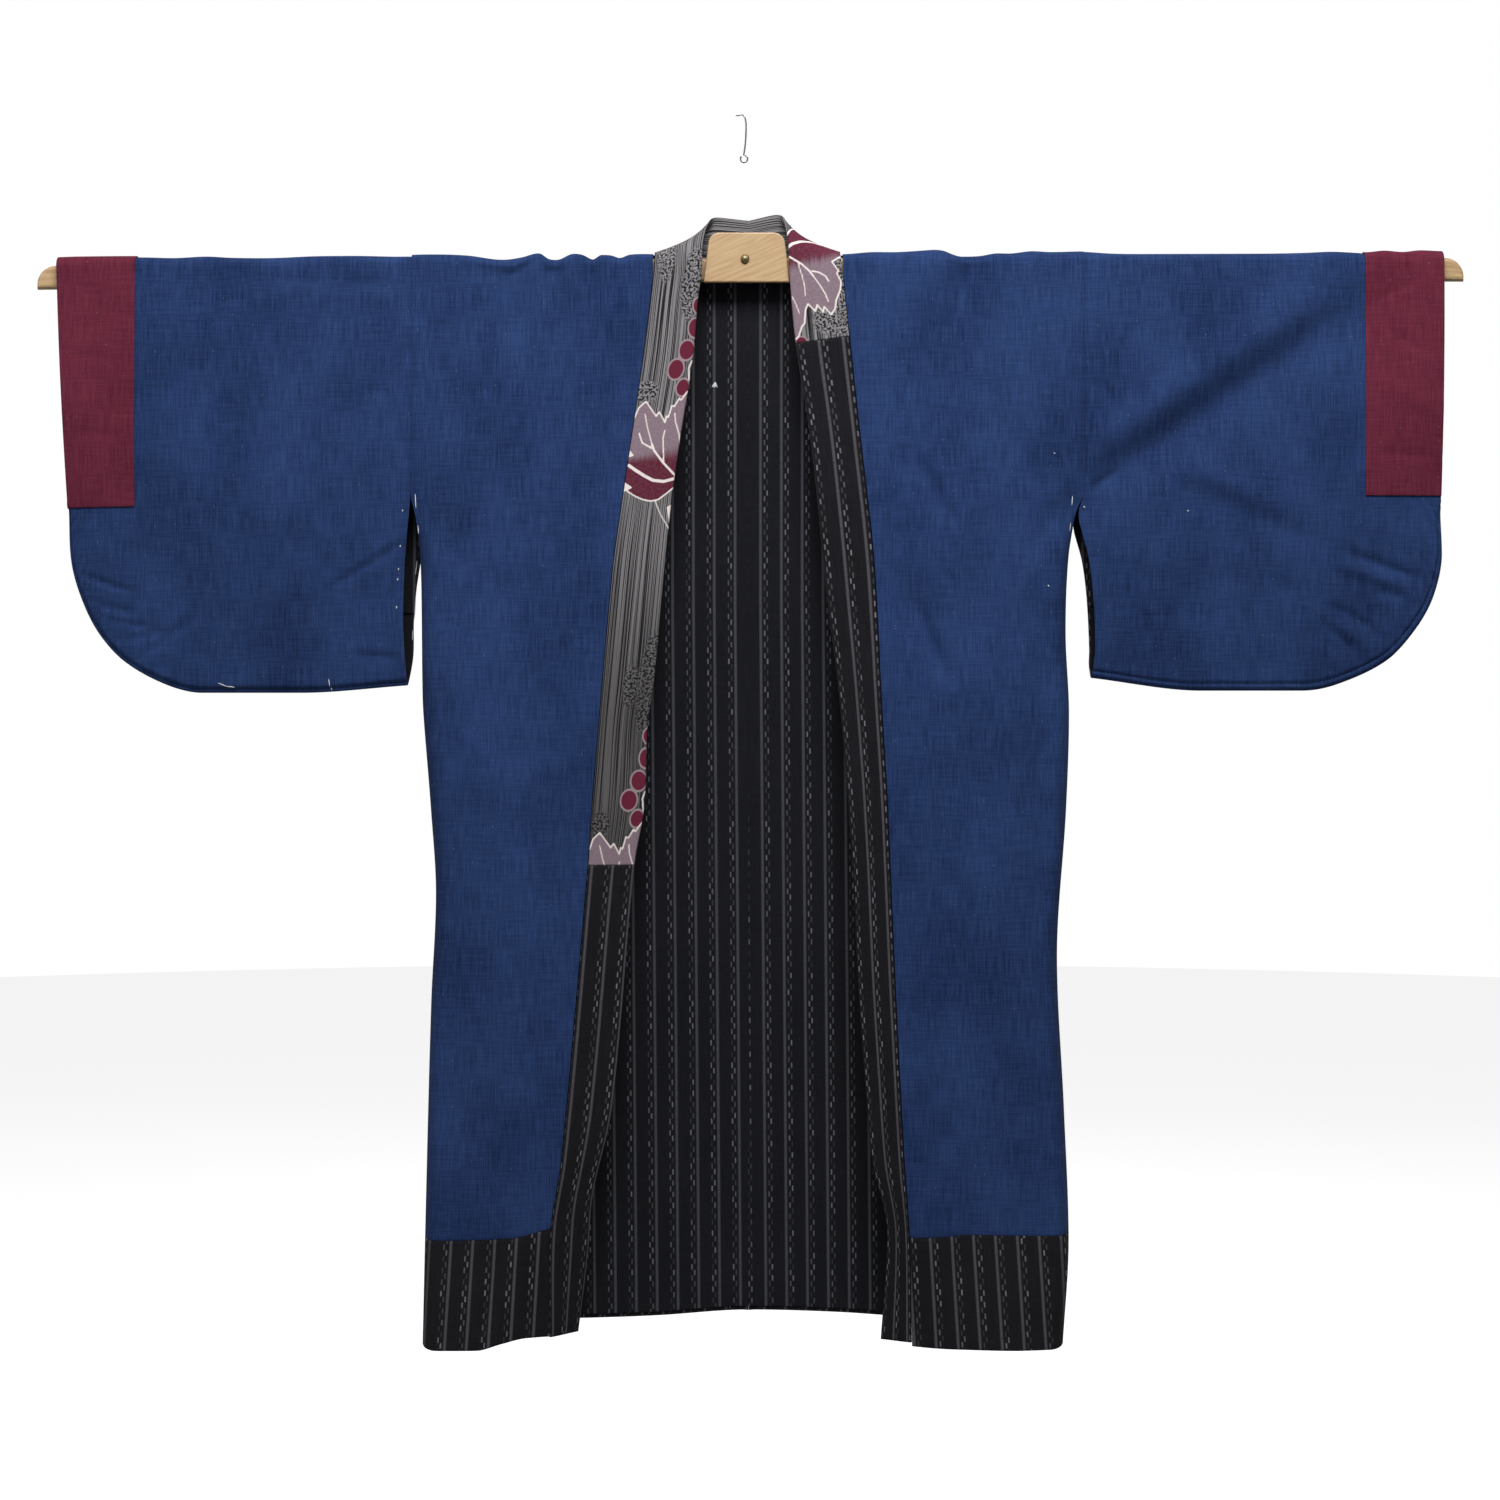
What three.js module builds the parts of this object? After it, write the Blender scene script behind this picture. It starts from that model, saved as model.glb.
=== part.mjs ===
import * as THREE from 'three';

// A lined cotton work coat hanging on a straight wooden hanger.
// Millimetres, +Z up, the wearer's front towards -Y. Left and right are the viewer's.
// Coat places are measured from the middle of the shoulder line, "drop" is the way down from it.

// Cloth walls and the gaps between sewn pieces
const clothWall = 1.2;
const liningWall = 1;
const collarWall = 3;
const seamGap = 0.3;
const collarGap = 0.7;
const liningInset = (clothWall + liningWall) / 2 + seamGap;

// The fold of the cloth over the hanger arm
const wrapDepth = 9;
const wrapDrop = 9;
const wrapSteps = 4;

// Main sizes of the coat
const underarmDrop = 224;
const armholeEase = 60;
const sleeveDrop = 405;
const sleeveSeamHalf = 5;
const sleeveSeamRound = 8;
const sleeveFullness = 5;
const sideCurl = 16;
const sideCurlShare = 0.12;
const cuffThickness = 1;
const liningHemShort = 4;
const backWave = { height: 1.5, across: 9, drop: 260, from: 60, to: 400 };

// Drops at which the x of a hem or band border is looked up
const borderDrop = 910;
const frontHemDrop = 1000;
const backHemLook = 950;

// Main sizes of the hanger
const armThickness = 9;
const armHeight = 22;
const armTopDrop = 2.9;
const armGap = 8;
const armEdgeRadius = 3.5;
const armEndRadius = 18;
const armLength = { left: 661, right: 671 };
const armTilt = { left: 0.0116, right: 0 };
const plateThickness = 6;
const plateEdge = 1.2;
const plateSize = { halfBottom: 40.3, halfTop: 36, top: 19, bottom: -27.4, corner: 11, x: -1.7 };
const boltX = -3.3;
const boltDrop = 6.2;
const boltRadius = 2;
const boltHead = { radius: 3.8, height: 2.6, edge: 1, shoulder: 2.1, shoulderShare: 0.75 };
const nutSize = { outer: 7, inner: boltRadius + seamGap, depth: 1.6 };
const wireRadius = 0.75;
const lineRadius = 0.4;
const hookTop = { x: -6.1, z: 131.4 };
const ring = { x: -4.2, z: 90.4, radius: 3.4, neck: 2, firstTurn: 0.1, openTurn: 0.75 };

const colours = {
  indigo: 0x293b66,
  maroon: 0x60283a,
  stripe: 0x24252a,
  lining: 0x22232a,
  collar: 0x55585f,
  wood: 0xc9ae87,
  brass: 0x8a7d5c,
  steel: 0x8d8f8c,
  clear: 0xe8eef0,
};

const cloth = (colour) => new THREE.MeshStandardMaterial({ color: colour, roughness: 0.9, metalness: 0 });
const wood = () => new THREE.MeshStandardMaterial({ color: colours.wood, roughness: 0.6, metalness: 0 });
const metal = (colour) => new THREE.MeshStandardMaterial({ color: colour, roughness: 0.35, metalness: 1 });
const clear = () => new THREE.MeshStandardMaterial({ color: colours.clear, roughness: 0.1, metalness: 0 });

const mix = (a, b, share) => a + (b - a) * share;
const clamp01 = (value) => Math.min(Math.max(value, 0), 1);
const ease = (from, to, value) => {
  const share = clamp01((value - from) / (to - from));
  return share * share * (3 - 2 * share);
};

// A smooth line through points [place, value, value ...], flat beyond its two ends
function smoothLine(points) {
  const last = points.length - 1;
  const slope = (i, k) => {
    const before = points[Math.max(i - 1, 0)];
    const after = points[Math.min(i + 1, last)];
    const turns = i > 0 && i < last && (after[k] - points[i][k]) * (points[i][k] - before[k]) <= 0;
    return turns ? 0 : (after[k] - before[k]) / (after[0] - before[0]);
  };
  const valueAt = (place, k) => {
    if (place <= points[0][0]) {
      return points[0][k];
    }
    if (place >= points[last][0]) {
      return points[last][k];
    }
    const i = points.findIndex((point) => point[0] >= place) - 1;
    const span = points[i + 1][0] - points[i][0];
    const s = (place - points[i][0]) / span;
    const a = points[i][k];
    const b = points[i + 1][k];
    const ease01 = s * s * (3 - 2 * s);
    return mix(a, b, ease01)
      + span * s * (1 - s) * ((1 - s) * slope(i, k) - s * slope(i + 1, k));
  };
  return (place) => {
    const values = points[0].slice(1).map((_, index) => valueAt(place, index + 1));
    return values.length === 1 ? values[0] : values;
  };
}

// Outlines of the coat, as [drop, x] unless a line says otherwise
const sideEdge = {
  left: smoothLine([[0, -316], [224, -316], [250, -310], [320, -305], [430, -304],
    [520, -297], [600, -292], [700, -296], [870, -300], [1020, -303]]),
  right: smoothLine([[0, 315], [224, 315], [236, 309], [250, 304.5], [295, 299], [355, 297], [430, 300],
    [520, 297], [660, 288], [800, 294], [920, 298], [1020, 292]]),
};
const innerSleeveEdge = {
  left: smoothLine([[0, -316.3], [224, -316.3], [262, -319.4], [295, -322], [345, -323.5],
    [404, -320.5]]),
  right: smoothLine([[0, 315.3], [224, 315.3], [259, 318.5], [287, 323.5], [370, 324.8],
    [397, 322]]),
};
const hemDrop = {
  left: smoothLine([[-310, 1016], [-282, 1017], [-250, 1017], [-226, 1011], [-205, 1007], [-158, 1008]]),
  right: smoothLine([[122, 1012], [144, 1015], [187, 1017], [240, 1017], [300, 1015]]),
};
const bandDrop = {
  left: smoothLine([[-310, 917], [-251, 916], [-215, 914], [-185, 907]]),
  right: smoothLine([[150, 915], [180, 914], [205, 912], [300, 912]]),
};
const backHemDrop = smoothLine([[-310, 1006], [-158, 1003], [-84, 1000], [0, 995], [86, 997], [160, 1002],
  [310, 1006]]);
const backBandWidth = 102;

// How far the cloth stands off the hanger's middle plane, as [drop, depth]
const frontDepth = smoothLine([[0, 9], [120, 13], [250, 19], [500, 30], [750, 42], [1020, 52]]);
const frontMiddleDepth = smoothLine([[0, 9], [120, 12], [250, 20], [500, 30], [750, 39], [1020, 47]]);
const backDepth = smoothLine([[0, 9], [40, 10], [300, 12], [700, 13], [1020, 15]]);
const sideDepth = smoothLine([[224, 0], [500, 4], [1020, 14]]);

// Both long edges of the collar, as [way along from the middle of the back, x, y, z].
// Past 100 on the way, "way - 100" is the drop down the front, from collarTopDrop down.
const collarTopDrop = 20;
const collarSeam = {
  left: smoothLine([[0, 0, 10, -17], [36, -46, 10.5, -16], [60, -72, 9.8, -10], [72, -80, 7.5, -3],
    [80, -85, 4, 0.4], [88, -88, 0, 1], [95, -88.3, -5, -1], [102, -88.6, -8.6, -6.5],
    [120, -89.5, -10, -20], [200, -99, -12, -100], [332, -118, -19, -232], [400, -127, -23, -300],
    [612, -145, -31, -512], [672, -149, -32, -572], [944, -173, -41, -844], [1010, -183, -42, -910],
    [1108, -184, -37, -1008]]),
  right: smoothLine([[0, 0, 10, -17], [36, 46, 10.5, -16], [60, 70, 9.8, -10], [72, 78, 7.5, -3],
    [80, 83, 4, 0.6], [88, 86, 0, 1.6], [95, 86.4, -5, -0.6], [102, 87, -8.6, -6.5],
    [120, 88.5, -10, -20], [200, 97, -12, -100], [276, 105, -16, -176], [388, 117, -22, -288],
    [523, 124, -28, -423], [612, 129, -31, -512], [781, 136, -37, -681], [944, 144, -42, -844],
    [1016, 149, -42, -916], [1112, 151, -40, -1012]]),
};
const collarFold = {
  left: smoothLine([[0, 0, 13, 33.5], [32, -32, 12, 35.5], [60, -37.5, 3, 28], [80, -41, -6, 17.5],
    [100, -43, -12.5, 3], [120, -43.5, -14.5, -18], [147, -47.5, -13.5, -47], [200, -52, -14, -100],
    [276, -64, -16, -176], [344, -73, -17, -244], [500, -88, -20, -400], [544, -94, -21, -444],
    [618, -97, -23, -518], [672, -106, -24, -572], [898, -127, -26, -798], [979, -145, -24, -879],
    [1036, -150, -19, -936], [1108, -159.5, -12, -1008]]),
  right: smoothLine([[0, 0, 13, 33.5], [32, 32, 12, 40], [60, 34.5, 3, 32], [80, 36, -6, 20],
    [100, 37.5, -12.5, 3], [120, 38, -14.5, -18], [185, 44, -13.5, -85], [276, 58, -16, -176],
    [412, 72, -18, -312], [522, 85, -20, -422], [658, 96, -22, -558], [783, 102, -25, -683],
    [867, 108, -27, -767],
    [946, 115, -29, -846], [1014, 129, -30, -914], [1112, 123, -26, -1012]]),
};
const collarJoin = { left: 672, right: 182 };
const joinSlant = { left: 0, right: 7 };
const slantFade = 30;
const collarHem = { left: 1108, right: 1112 };

// The sleeve's seam line under the arm, as [share of the way, x, z]
const sleeveSeam = {
  left: smoothLine([[0, -320.5, -404], [0.22, -420, -411], [0.45, -514, -411], [0.53, -548, -403],
    [0.64, -587, -381], [0.72, -611, -354], [0.8, -627, -321], [0.89, -636, -287], [1, -638, -240]]),
  right: smoothLine([[0, 322, -397], [0.22, 425, -409], [0.45, 520, -409], [0.53, 553, -403],
    [0.64, 599, -381], [0.72, 626, -352], [0.8, 643, -321], [0.89, 651, -282], [1, 649, -240]]),
};
const sleeveTop = {
  left: { outerX: -648, outerZ: -3.3 },
  right: { outerX: 651, outerZ: 1 },
};
const cuffEdgeX = { left: -574, right: 577 };
const cuffDrop = { left: 235, right: 228 };
const innerEdgeShare = 0.25;

// Large folds: each is a straight crease with a width and a height towards the viewer
const folds = {
  front_left: [{ from: [-204, -560], to: [-214, -1010], width: 26, height: 7 }],
  front_right: [
    { from: [118, -60], to: [150, -420], width: 20, height: -4 },
    { from: [165, -880], to: [140, -1010], width: 20, height: 6 },
  ],
  sleeve_left: [{ from: [-338, -250], to: [-450, -330], width: 34, height: 4 }],
  sleeve_right: [
    { from: [304, -199], to: [543, -35], width: 22, height: 5 },
    { from: [321, -223], to: [560, -60], width: 22, height: -5 },
  ],
};

function foldHeight(list, x, z) {
  return list.reduce((sum, fold) => {
    const alongX = fold.to[0] - fold.from[0];
    const alongZ = fold.to[1] - fold.from[1];
    const length = Math.hypot(alongX, alongZ);
    const way = ((x - fold.from[0]) * alongX + (z - fold.from[1]) * alongZ) / (length * length);
    const off = ((x - fold.from[0]) * alongZ - (z - fold.from[1]) * alongX) / length;
    const fade = ease(-0.15, 0.25, way) * (1 - ease(0.75, 1.15, way));
    return sum + fold.height * fade * Math.exp(-((off / fold.width) ** 2));
  }, 0);
}

// Half the thickness of the hanging sleeve at a share of its drop, below the fold over the arm
function sleeveHalf(share, height) {
  const bottom = Math.sqrt(1 - (1 - clamp01(((1 - share) * height) / sleeveSeamRound)) ** 2);
  return mix(wrapDepth, sleeveSeamHalf, share) * bottom + sleeveFullness * Math.sin(Math.PI * share);
}

const armholeHalf = (drop) => sleeveHalf(drop / sleeveDrop, sleeveDrop);

// Places along the wrap over the arm and on down, as drops
function wrapDrops(end, steps) {
  const drops = [];
  for (let i = 0; i < wrapSteps; i += 1) {
    drops.push(wrapDrop * (1 - Math.cos((i / wrapSteps) * (Math.PI / 2))));
  }
  for (let i = 0; i <= steps; i += 1) {
    drops.push(mix(wrapDrop, end, i / steps));
  }
  return drops;
}

const wrapRise = (drop) => Math.sqrt(1 - (1 - clamp01(drop / wrapDrop)) ** 2);

// How far the armhole is open at a drop: 1 above the underarm, 0 once the side seam has closed
const armholeOpen = (drop) => 1 - ease(underarmDrop, underarmDrop + armholeEase, drop);

// A body panel from its side seam at 0 to its inner edge at 1, curling in at the side seam
function panelPoint(side, across, drop, { width, edgeY, sheet }) {
  const edgeX = sideEdge[side](drop);
  const curl = 1 - armholeOpen(drop);
  const turn = (across / sideCurlShare) * (Math.PI / 2);
  const share = (across - sideCurlShare) / (1 - sideCurlShare);
  let inward = mix(mix(sideCurlShare * width, sideCurl, curl), width, share);
  let y = sheet(across);
  if (across < sideCurlShare) {
    inward = mix(across * width, sideCurl * (1 - Math.cos(turn)), curl);
    y = mix(y, mix(edgeY, sheet(sideCurlShare), Math.sin(turn)), curl);
  }
  return [edgeX - Math.sign(edgeX) * inward, y];
}

// The front of the coat: across runs from the side seam at 0 to the collar seam at 1
function frontPoint(side, across, drop) {
  const [seamX, seamY] = collarSeam[side](Math.max(drop, collarTopDrop) + 100);
  const hole = armholeHalf(Math.min(drop, underarmDrop));
  const edgeY = -mix(sideDepth(drop) + seamGap / 2, hole, armholeOpen(drop));
  const width = Math.abs(sideEdge[side](drop) - seamX);
  const sheet = smoothLine([[0, mix(-frontDepth(drop), edgeY, armholeOpen(drop))], [0.3, -frontDepth(drop)],
    [0.7, -frontMiddleDepth(drop)], [1, seamY]]);
  const [x, y] = panelPoint(side, across, drop, { width, edgeY, sheet });
  const calm = Math.sqrt(Math.sin(Math.PI * clamp01(across)));
  const folded = y - foldHeight(folds[`front_${side}`], x, -drop) * calm;
  return new THREE.Vector3(x, folded * wrapRise(drop), -drop);
}

// The back: across runs from the side seam at 0 to the seam down the middle at 1
function backPoint(side, across, drop) {
  const hole = armholeHalf(Math.min(drop, underarmDrop));
  const edgeY = mix(-sideDepth(drop) + seamGap / 2, hole, armholeOpen(drop));
  const width = Math.abs(sideEdge[side](drop)) - seamGap / 2;
  const wave = backWave.height * Math.sin(across * backWave.across + drop / backWave.drop)
    * ease(backWave.from, backWave.to, drop);
  const depth = backDepth(drop);
  const sheet = smoothLine([[0, mix(depth, edgeY, armholeOpen(drop))], [0.35, depth + wave], [1, depth + 1]]);
  const [x, y] = panelPoint(side, across, drop, { width, edgeY, sheet });
  return new THREE.Vector3(x, y * wrapRise(drop), -drop);
}

// The sleeve: along runs from the body at 0 to the cuff at 1, drop down to the end of the cuff and
// then share on to the seam at 1; face is -1 on the front layer and +1 on the back layer
function sleevePoint(side, along, drop, share, face) {
  const top = sleeveTop[side];
  const [seamX, seamZ] = sleeveSeam[side](along);
  const topZ = top.outerZ * along;
  const outerX = mix(top.outerX, sleeveSeam[side](1)[0], drop / cuffDrop[side]);
  const upperX = along < cuffAlong
    ? mix(innerSleeveEdge[side](drop), cuffEdgeX[side], along / cuffAlong)
    : mix(cuffEdgeX[side], outerX, (along - cuffAlong) / (1 - cuffAlong));
  const z = mix(topZ - drop, seamZ, share);
  const straightX = mix(upperX, seamX, share);
  const straightEdge = mix(innerSleeveEdge[side](drop), sleeveSeam[side](0)[0], share);
  const pull = innerSleeveEdge[side](-z) - straightEdge;
  const x = straightX + pull * clamp01(1 - along / innerEdgeShare);
  const height = topZ - seamZ;
  const half = sleeveHalf((topZ - z) / height, height) * wrapRise(topZ - z);
  const strength = face < 0 ? 1 : -0.3;
  const calm = strength * Math.sin(Math.PI * clamp01((topZ - z) / height)) * ease(0, 0.12, along);
  return new THREE.Vector3(x, face * half - calm * foldHeight(folds[`sleeve_${side}`], x, z), z);
}

// The collar band: way from the middle of the back, across from its seam at 0 to its fold at 1
function collarPoint(side, way, across) {
  const toJoin = (way - collarJoin[side]) / slantFade;
  const slanted = way + joinSlant[side] * (across - 0.5) * Math.exp(-toJoin * toJoin);
  const seam = new THREE.Vector3(...collarSeam[side](slanted));
  const fold = new THREE.Vector3(...collarFold[side](slanted));
  const shift = collarGap / seam.distanceTo(fold);
  return seam.lerp(fold, mix(shift, 1, across));
}

// Turns a grid of middle points into a closed wall. Rows run down, columns run across;
// a looped grid closes on itself from its last column to its first. squareTo names the axis
// that a sewn edge is square to, so that its neighbour meets it face to face.
function wallGeometry(grid, thickness, { moveOut = 0, looped = false, squareTo = () => null } = {}) {
  const rows = grid.length;
  const columns = grid[0].length;
  const near = (i, limit) => Math.min(Math.max(i, 0), limit - 1);
  const column = (j) => (looped ? (j + columns) % columns : near(j, columns));
  const positions = [];
  const layer = (offset) => {
    for (let i = 0; i < rows; i += 1) {
      for (let j = 0; j < columns; j += 1) {
        const down = grid[near(i + 1, rows)][j].clone().sub(grid[near(i - 1, rows)][j]);
        const over = grid[i][column(j + 1)].clone().sub(grid[i][column(j - 1)]);
        const normal = down.cross(over);
        const axis = squareTo(i, j);
        if (axis) {
          normal[axis] = 0;
        }
        const point = normal.normalize().multiplyScalar(offset).add(grid[i][j]);
        positions.push(point.x, point.y, point.z);
      }
    }
  };
  layer(moveOut + thickness / 2);
  layer(moveOut - thickness / 2);
  const outer = (i, j) => i * columns + column(j);
  const inner = (i, j) => rows * columns + outer(i, j);
  const faces = [];
  const quad = (a, b, c, d) => faces.push(a, b, c, a, c, d);
  const spans = looped ? columns : columns - 1;
  for (let i = 0; i < rows - 1; i += 1) {
    for (let j = 0; j < spans; j += 1) {
      quad(outer(i, j), outer(i + 1, j), outer(i + 1, j + 1), outer(i, j + 1));
      quad(inner(i, j), inner(i, j + 1), inner(i + 1, j + 1), inner(i + 1, j));
    }
  }
  for (let j = 0; j < spans; j += 1) {
    quad(outer(0, j), outer(0, j + 1), inner(0, j + 1), inner(0, j));
    quad(outer(rows - 1, j), inner(rows - 1, j), inner(rows - 1, j + 1), outer(rows - 1, j + 1));
  }
  if (!looped) {
    const end = columns - 1;
    for (let i = 0; i < rows - 1; i += 1) {
      quad(outer(i, 0), inner(i, 0), inner(i + 1, 0), outer(i + 1, 0));
      quad(outer(i, end), outer(i + 1, end), inner(i + 1, end), inner(i, end));
    }
  }
  const geometry = new THREE.BufferGeometry();
  geometry.setAttribute('position', new THREE.Float32BufferAttribute(positions, 3));
  geometry.setIndex(faces);
  geometry.computeVertexNormals();
  return geometry;
}

function piece(name, geometry, material) {
  const mesh = new THREE.Mesh(geometry, material);
  mesh.name = name;
  return mesh;
}

const steps = (count) => Array.from({ length: count + 1 }, (_, i) => i / count);
const curledAcross = (count) => [
  0, sideCurlShare / 3, (sideCurlShare * 2) / 3,
  ...steps(count).map((share) => mix(sideCurlShare, 1, share)),
];

// Grids are laid so that their outside is the outside of the coat
const handed = (side, row) => (side === 'left' ? row : [...row].reverse());
const underarmRow = wrapSteps + 3;
const lowRow = underarmRow + 1;

// The sides of a body panel are square to X at the armhole and to Y down the side seam
function bodySquare(side, grid, mirrored, firstRow = 0) {
  const columns = grid[0].length;
  const outer = (side === 'left') === mirrored ? columns - 1 : 0;
  const middle = columns - 1 - outer;
  return (i, j) => {
    const row = i + firstRow;
    if (row === 0 && Math.abs(grid[0][j].y) < seamGap) {
      return 'y';
    }
    if (j === outer) {
      return row <= underarmRow ? 'x' : 'y';
    }
    return j === middle && mirrored ? 'x' : null;
  };
}

function frontGrid(side) {
  const across = curledAcross(6);
  const row = (dropAt) => across.map((share) => frontPoint(side, share, dropAt(share)));
  const borderAt = (share) => bandDrop[side](frontPoint(side, share, borderDrop).x);
  const grid = wrapDrops(underarmDrop, 3).map((drop) => row(() => drop));
  grid[0].forEach((point) => point.setY(-seamGap / 2));
  steps(10).slice(1).forEach((share) => {
    grid.push(row((place) => mix(underarmDrop, borderAt(place) - seamGap / 2, share)));
  });
  return grid;
}

function frontPanel(side) {
  const grid = frontGrid(side).map((row) => handed(side, row));
  return wallGeometry(grid, clothWall, { squareTo: bodySquare(side, grid, false) });
}

function frontHemBand(side) {
  const grid = steps(3).map((share) => curledAcross(6).map((across) => {
    const start = bandDrop[side](frontPoint(side, across, borderDrop).x) + seamGap / 2;
    const end = hemDrop[side](frontPoint(side, across, frontHemDrop).x);
    return frontPoint(side, across, mix(start, end, share));
  })).map((row) => handed(side, row));
  return wallGeometry(grid, clothWall, { squareTo: bodySquare(side, grid, false, lowRow) });
}

// The neck cut of the back, as [x, drop]
const neckCut = smoothLine([[0, 18], [46, 17.5], [60, 15.5], [70, 11.5], [78, 5], [83, 1.6], [89, 0]]);
const backTop = (side, across) => neckCut(Math.abs(backPoint(side, across, 0).x));
const backAcross = [...curledAcross(2).slice(0, 4), 0.3, 0.5, 0.66, 0.715, 0.736, 0.753, 0.78, 0.82, 0.9, 1];
const backPanelRows = 9;
const backBandRows = 2;

// The whole back, to where its hem ends; the lining is made from the same points
function backGrid(side) {
  const row = (dropAt) => backAcross.map((across) => backPoint(side, across, dropAt(across)));
  const hemAt = (across) => backHemDrop(backPoint(side, across, backHemLook).x);
  const grid = wrapDrops(underarmDrop, 3).map((drop) => row((across) => (
    mix(backTop(side, across), underarmDrop, drop / underarmDrop)
  )));
  grid[0].forEach((point) => point.setY(Math.max(point.y, seamGap / 2)));
  steps(backPanelRows).slice(1).forEach((share) => {
    grid.push(row((across) => mix(underarmDrop, hemAt(across) - backBandWidth, share)));
  });
  steps(backBandRows).slice(1).forEach((share) => {
    grid.push(row((across) => hemAt(across) - backBandWidth * (1 - share)));
  });
  return grid.map((points) => handed(side, points.reverse()));
}

// Moves the first or last row of a grid up or down, to open a seam
function shiftRow(grid, index, drop) {
  grid[index] = grid[index].map((point) => point.clone().setZ(point.z - drop));
  return grid;
}

function backPanel(side) {
  const grid = backGrid(side).slice(0, -backBandRows);
  shiftRow(grid, grid.length - 1, -seamGap / 2);
  return wallGeometry(grid, clothWall, { squareTo: bodySquare(side, grid, true) });
}

function backHemBand(side) {
  const grid = backGrid(side).slice(-backBandRows - 1);
  shiftRow(grid, 0, seamGap / 2);
  return wallGeometry(grid, clothWall, { squareTo: bodySquare(side, grid, true, lowRow) });
}

// The lining stops one column short of the side seam, and a little above the hem
function backLining(side) {
  const grid = backGrid(side).map((row) => (side === 'left' ? row.slice(0, -1) : row.slice(1)));
  shiftRow(grid, grid.length - 1, -liningHemShort);
  const squareTo = bodySquare(side, grid, true);
  const sideColumn = side === 'left' ? grid[0].length - 1 : 0;
  return wallGeometry(grid, liningWall, {
    moveOut: -liningInset,
    squareTo: (i, j) => (j === sideColumn && i > 0 ? null : squareTo(i, j)),
  });
}

// Down the sleeve: to the end of the cuff in straight columns, then fanned out to the seam
const sleeveUpperSteps = 5;
const sleeveLowerShares = [0.25, 0.5, 0.75, 0.93];
const cuffRows = wrapSteps + sleeveUpperSteps + 1;
const cuffAlong = 0.76;
const alongSteps = [0, 0.06, 0.13, 0.24, 0.36, 0.48, 0.58, 0.67, cuffAlong, 0.84, 0.92, 1];
const sleeveLiningColumns = 3;

function sleeveColumn(side, along, face) {
  const point = (drop, share) => sleevePoint(side, along, drop, share, face);
  const upper = wrapDrops(cuffDrop[side], sleeveUpperSteps).map((drop) => point(drop, 0));
  const lower = sleeveLowerShares.map((share) => point(cuffDrop[side], share));
  return [...upper, ...lower];
}

function sleeve(side) {
  const grid = alongSteps.map((along) => {
    const front = sleeveColumn(side, along, -1);
    const back = sleeveColumn(side, along, 1).slice(1);
    const bottom = sleevePoint(side, along, cuffDrop[side], 1, -1);
    return handed(side, [...front, bottom, ...back.reverse()]);
  });
  const lastColumn = alongSteps.length - 1;
  return wallGeometry(grid, clothWall, {
    looped: true,
    squareTo: (i) => (i === 0 || i === lastColumn ? 'x' : null),
  });
}

// A strip made from the sleeve's points, from the front layer over the fold to the back layer
function sleeveStrip(side, columns, rows, thickness, moveOut) {
  const grid = columns.map((along) => {
    const front = sleeveColumn(side, along, -1).slice(0, rows);
    const back = sleeveColumn(side, along, 1).slice(1, rows);
    return handed(side, [...front.reverse(), ...back].reverse());
  });
  return wallGeometry(grid, thickness, {
    moveOut,
    squareTo: (i) => (columns[i] === 0 || columns[i] === 1 ? 'x' : null),
  });
}

function cuff(side) {
  const columns = alongSteps.filter((along) => along >= cuffAlong);
  return sleeveStrip(side, columns, cuffRows, cuffThickness, (clothWall + cuffThickness) / 2 + seamGap);
}

function sleeveLining(side) {
  const columns = alongSteps.slice(0, sleeveLiningColumns);
  return sleeveStrip(side, columns, cuffRows + sleeveLowerShares.length - 1, liningWall, -liningInset);
}

// Ways along the collar, closer together where it turns over the arm
const neckWays = [0, 18, 32, 46, 60, 70, 80, 90, 100, 112];
const frontWay = 130;

function collarGrid(side, ways) {
  return ways.map((way) => steps(2).map((across) => collarPoint(side, way, across)));
}

const waysBetween = (from, to, count) => steps(count).map((share) => mix(from, to, share));

function patternedCollar() {
  const left = [...neckWays, ...waysBetween(frontWay, collarJoin.left, 14)].reverse();
  const right = [...neckWays.slice(1), ...waysBetween(frontWay, collarJoin.right, 2)];
  return wallGeometry([...collarGrid('left', left), ...collarGrid('right', right)], collarWall);
}

function plainCollar(side) {
  const ways = waysBetween(collarJoin[side] + seamGap, collarHem[side], side === 'left' ? 10 : 20);
  const grid = collarGrid(side, ways);
  return wallGeometry(side === 'left' ? grid.reverse() : grid, collarWall);
}

// The hanger: two arms let into a front plate, held by a bolt, hung on a line from a wire hook
function armGeometry(length) {
  const bevel = armEdgeRadius;
  const outline = new THREE.Shape();
  outline.moveTo(0, -armHeight);
  outline.lineTo(length, -armHeight);
  outline.lineTo(length, -armEndRadius);
  outline.absarc(length - armEndRadius, -armEndRadius, armEndRadius, 0, Math.PI / 2, false);
  outline.lineTo(0, 0);
  const geometry = new THREE.ExtrudeGeometry(outline, {
    depth: armThickness - 2 * bevel,
    bevelThickness: bevel,
    bevelSize: bevel,
    bevelOffset: -bevel,
    bevelSegments: 3,
    curveSegments: 8,
  });
  geometry.translate(0, 0, bevel - armThickness / 2);
  geometry.rotateX(Math.PI / 2);
  return geometry;
}

function hangerArm(side) {
  const geometry = armGeometry(armLength[side]);
  if (side === 'left') {
    geometry.rotateZ(Math.PI);
  }
  const arm = piece(`hanger_arm_${side}`, geometry, wood());
  const away = side === 'left' ? -1 : 1;
  arm.position.set(boltX + (away * armGap) / 2, 0, -armTopDrop);
  arm.rotation.y = -armTilt[side];
  return arm;
}

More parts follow.
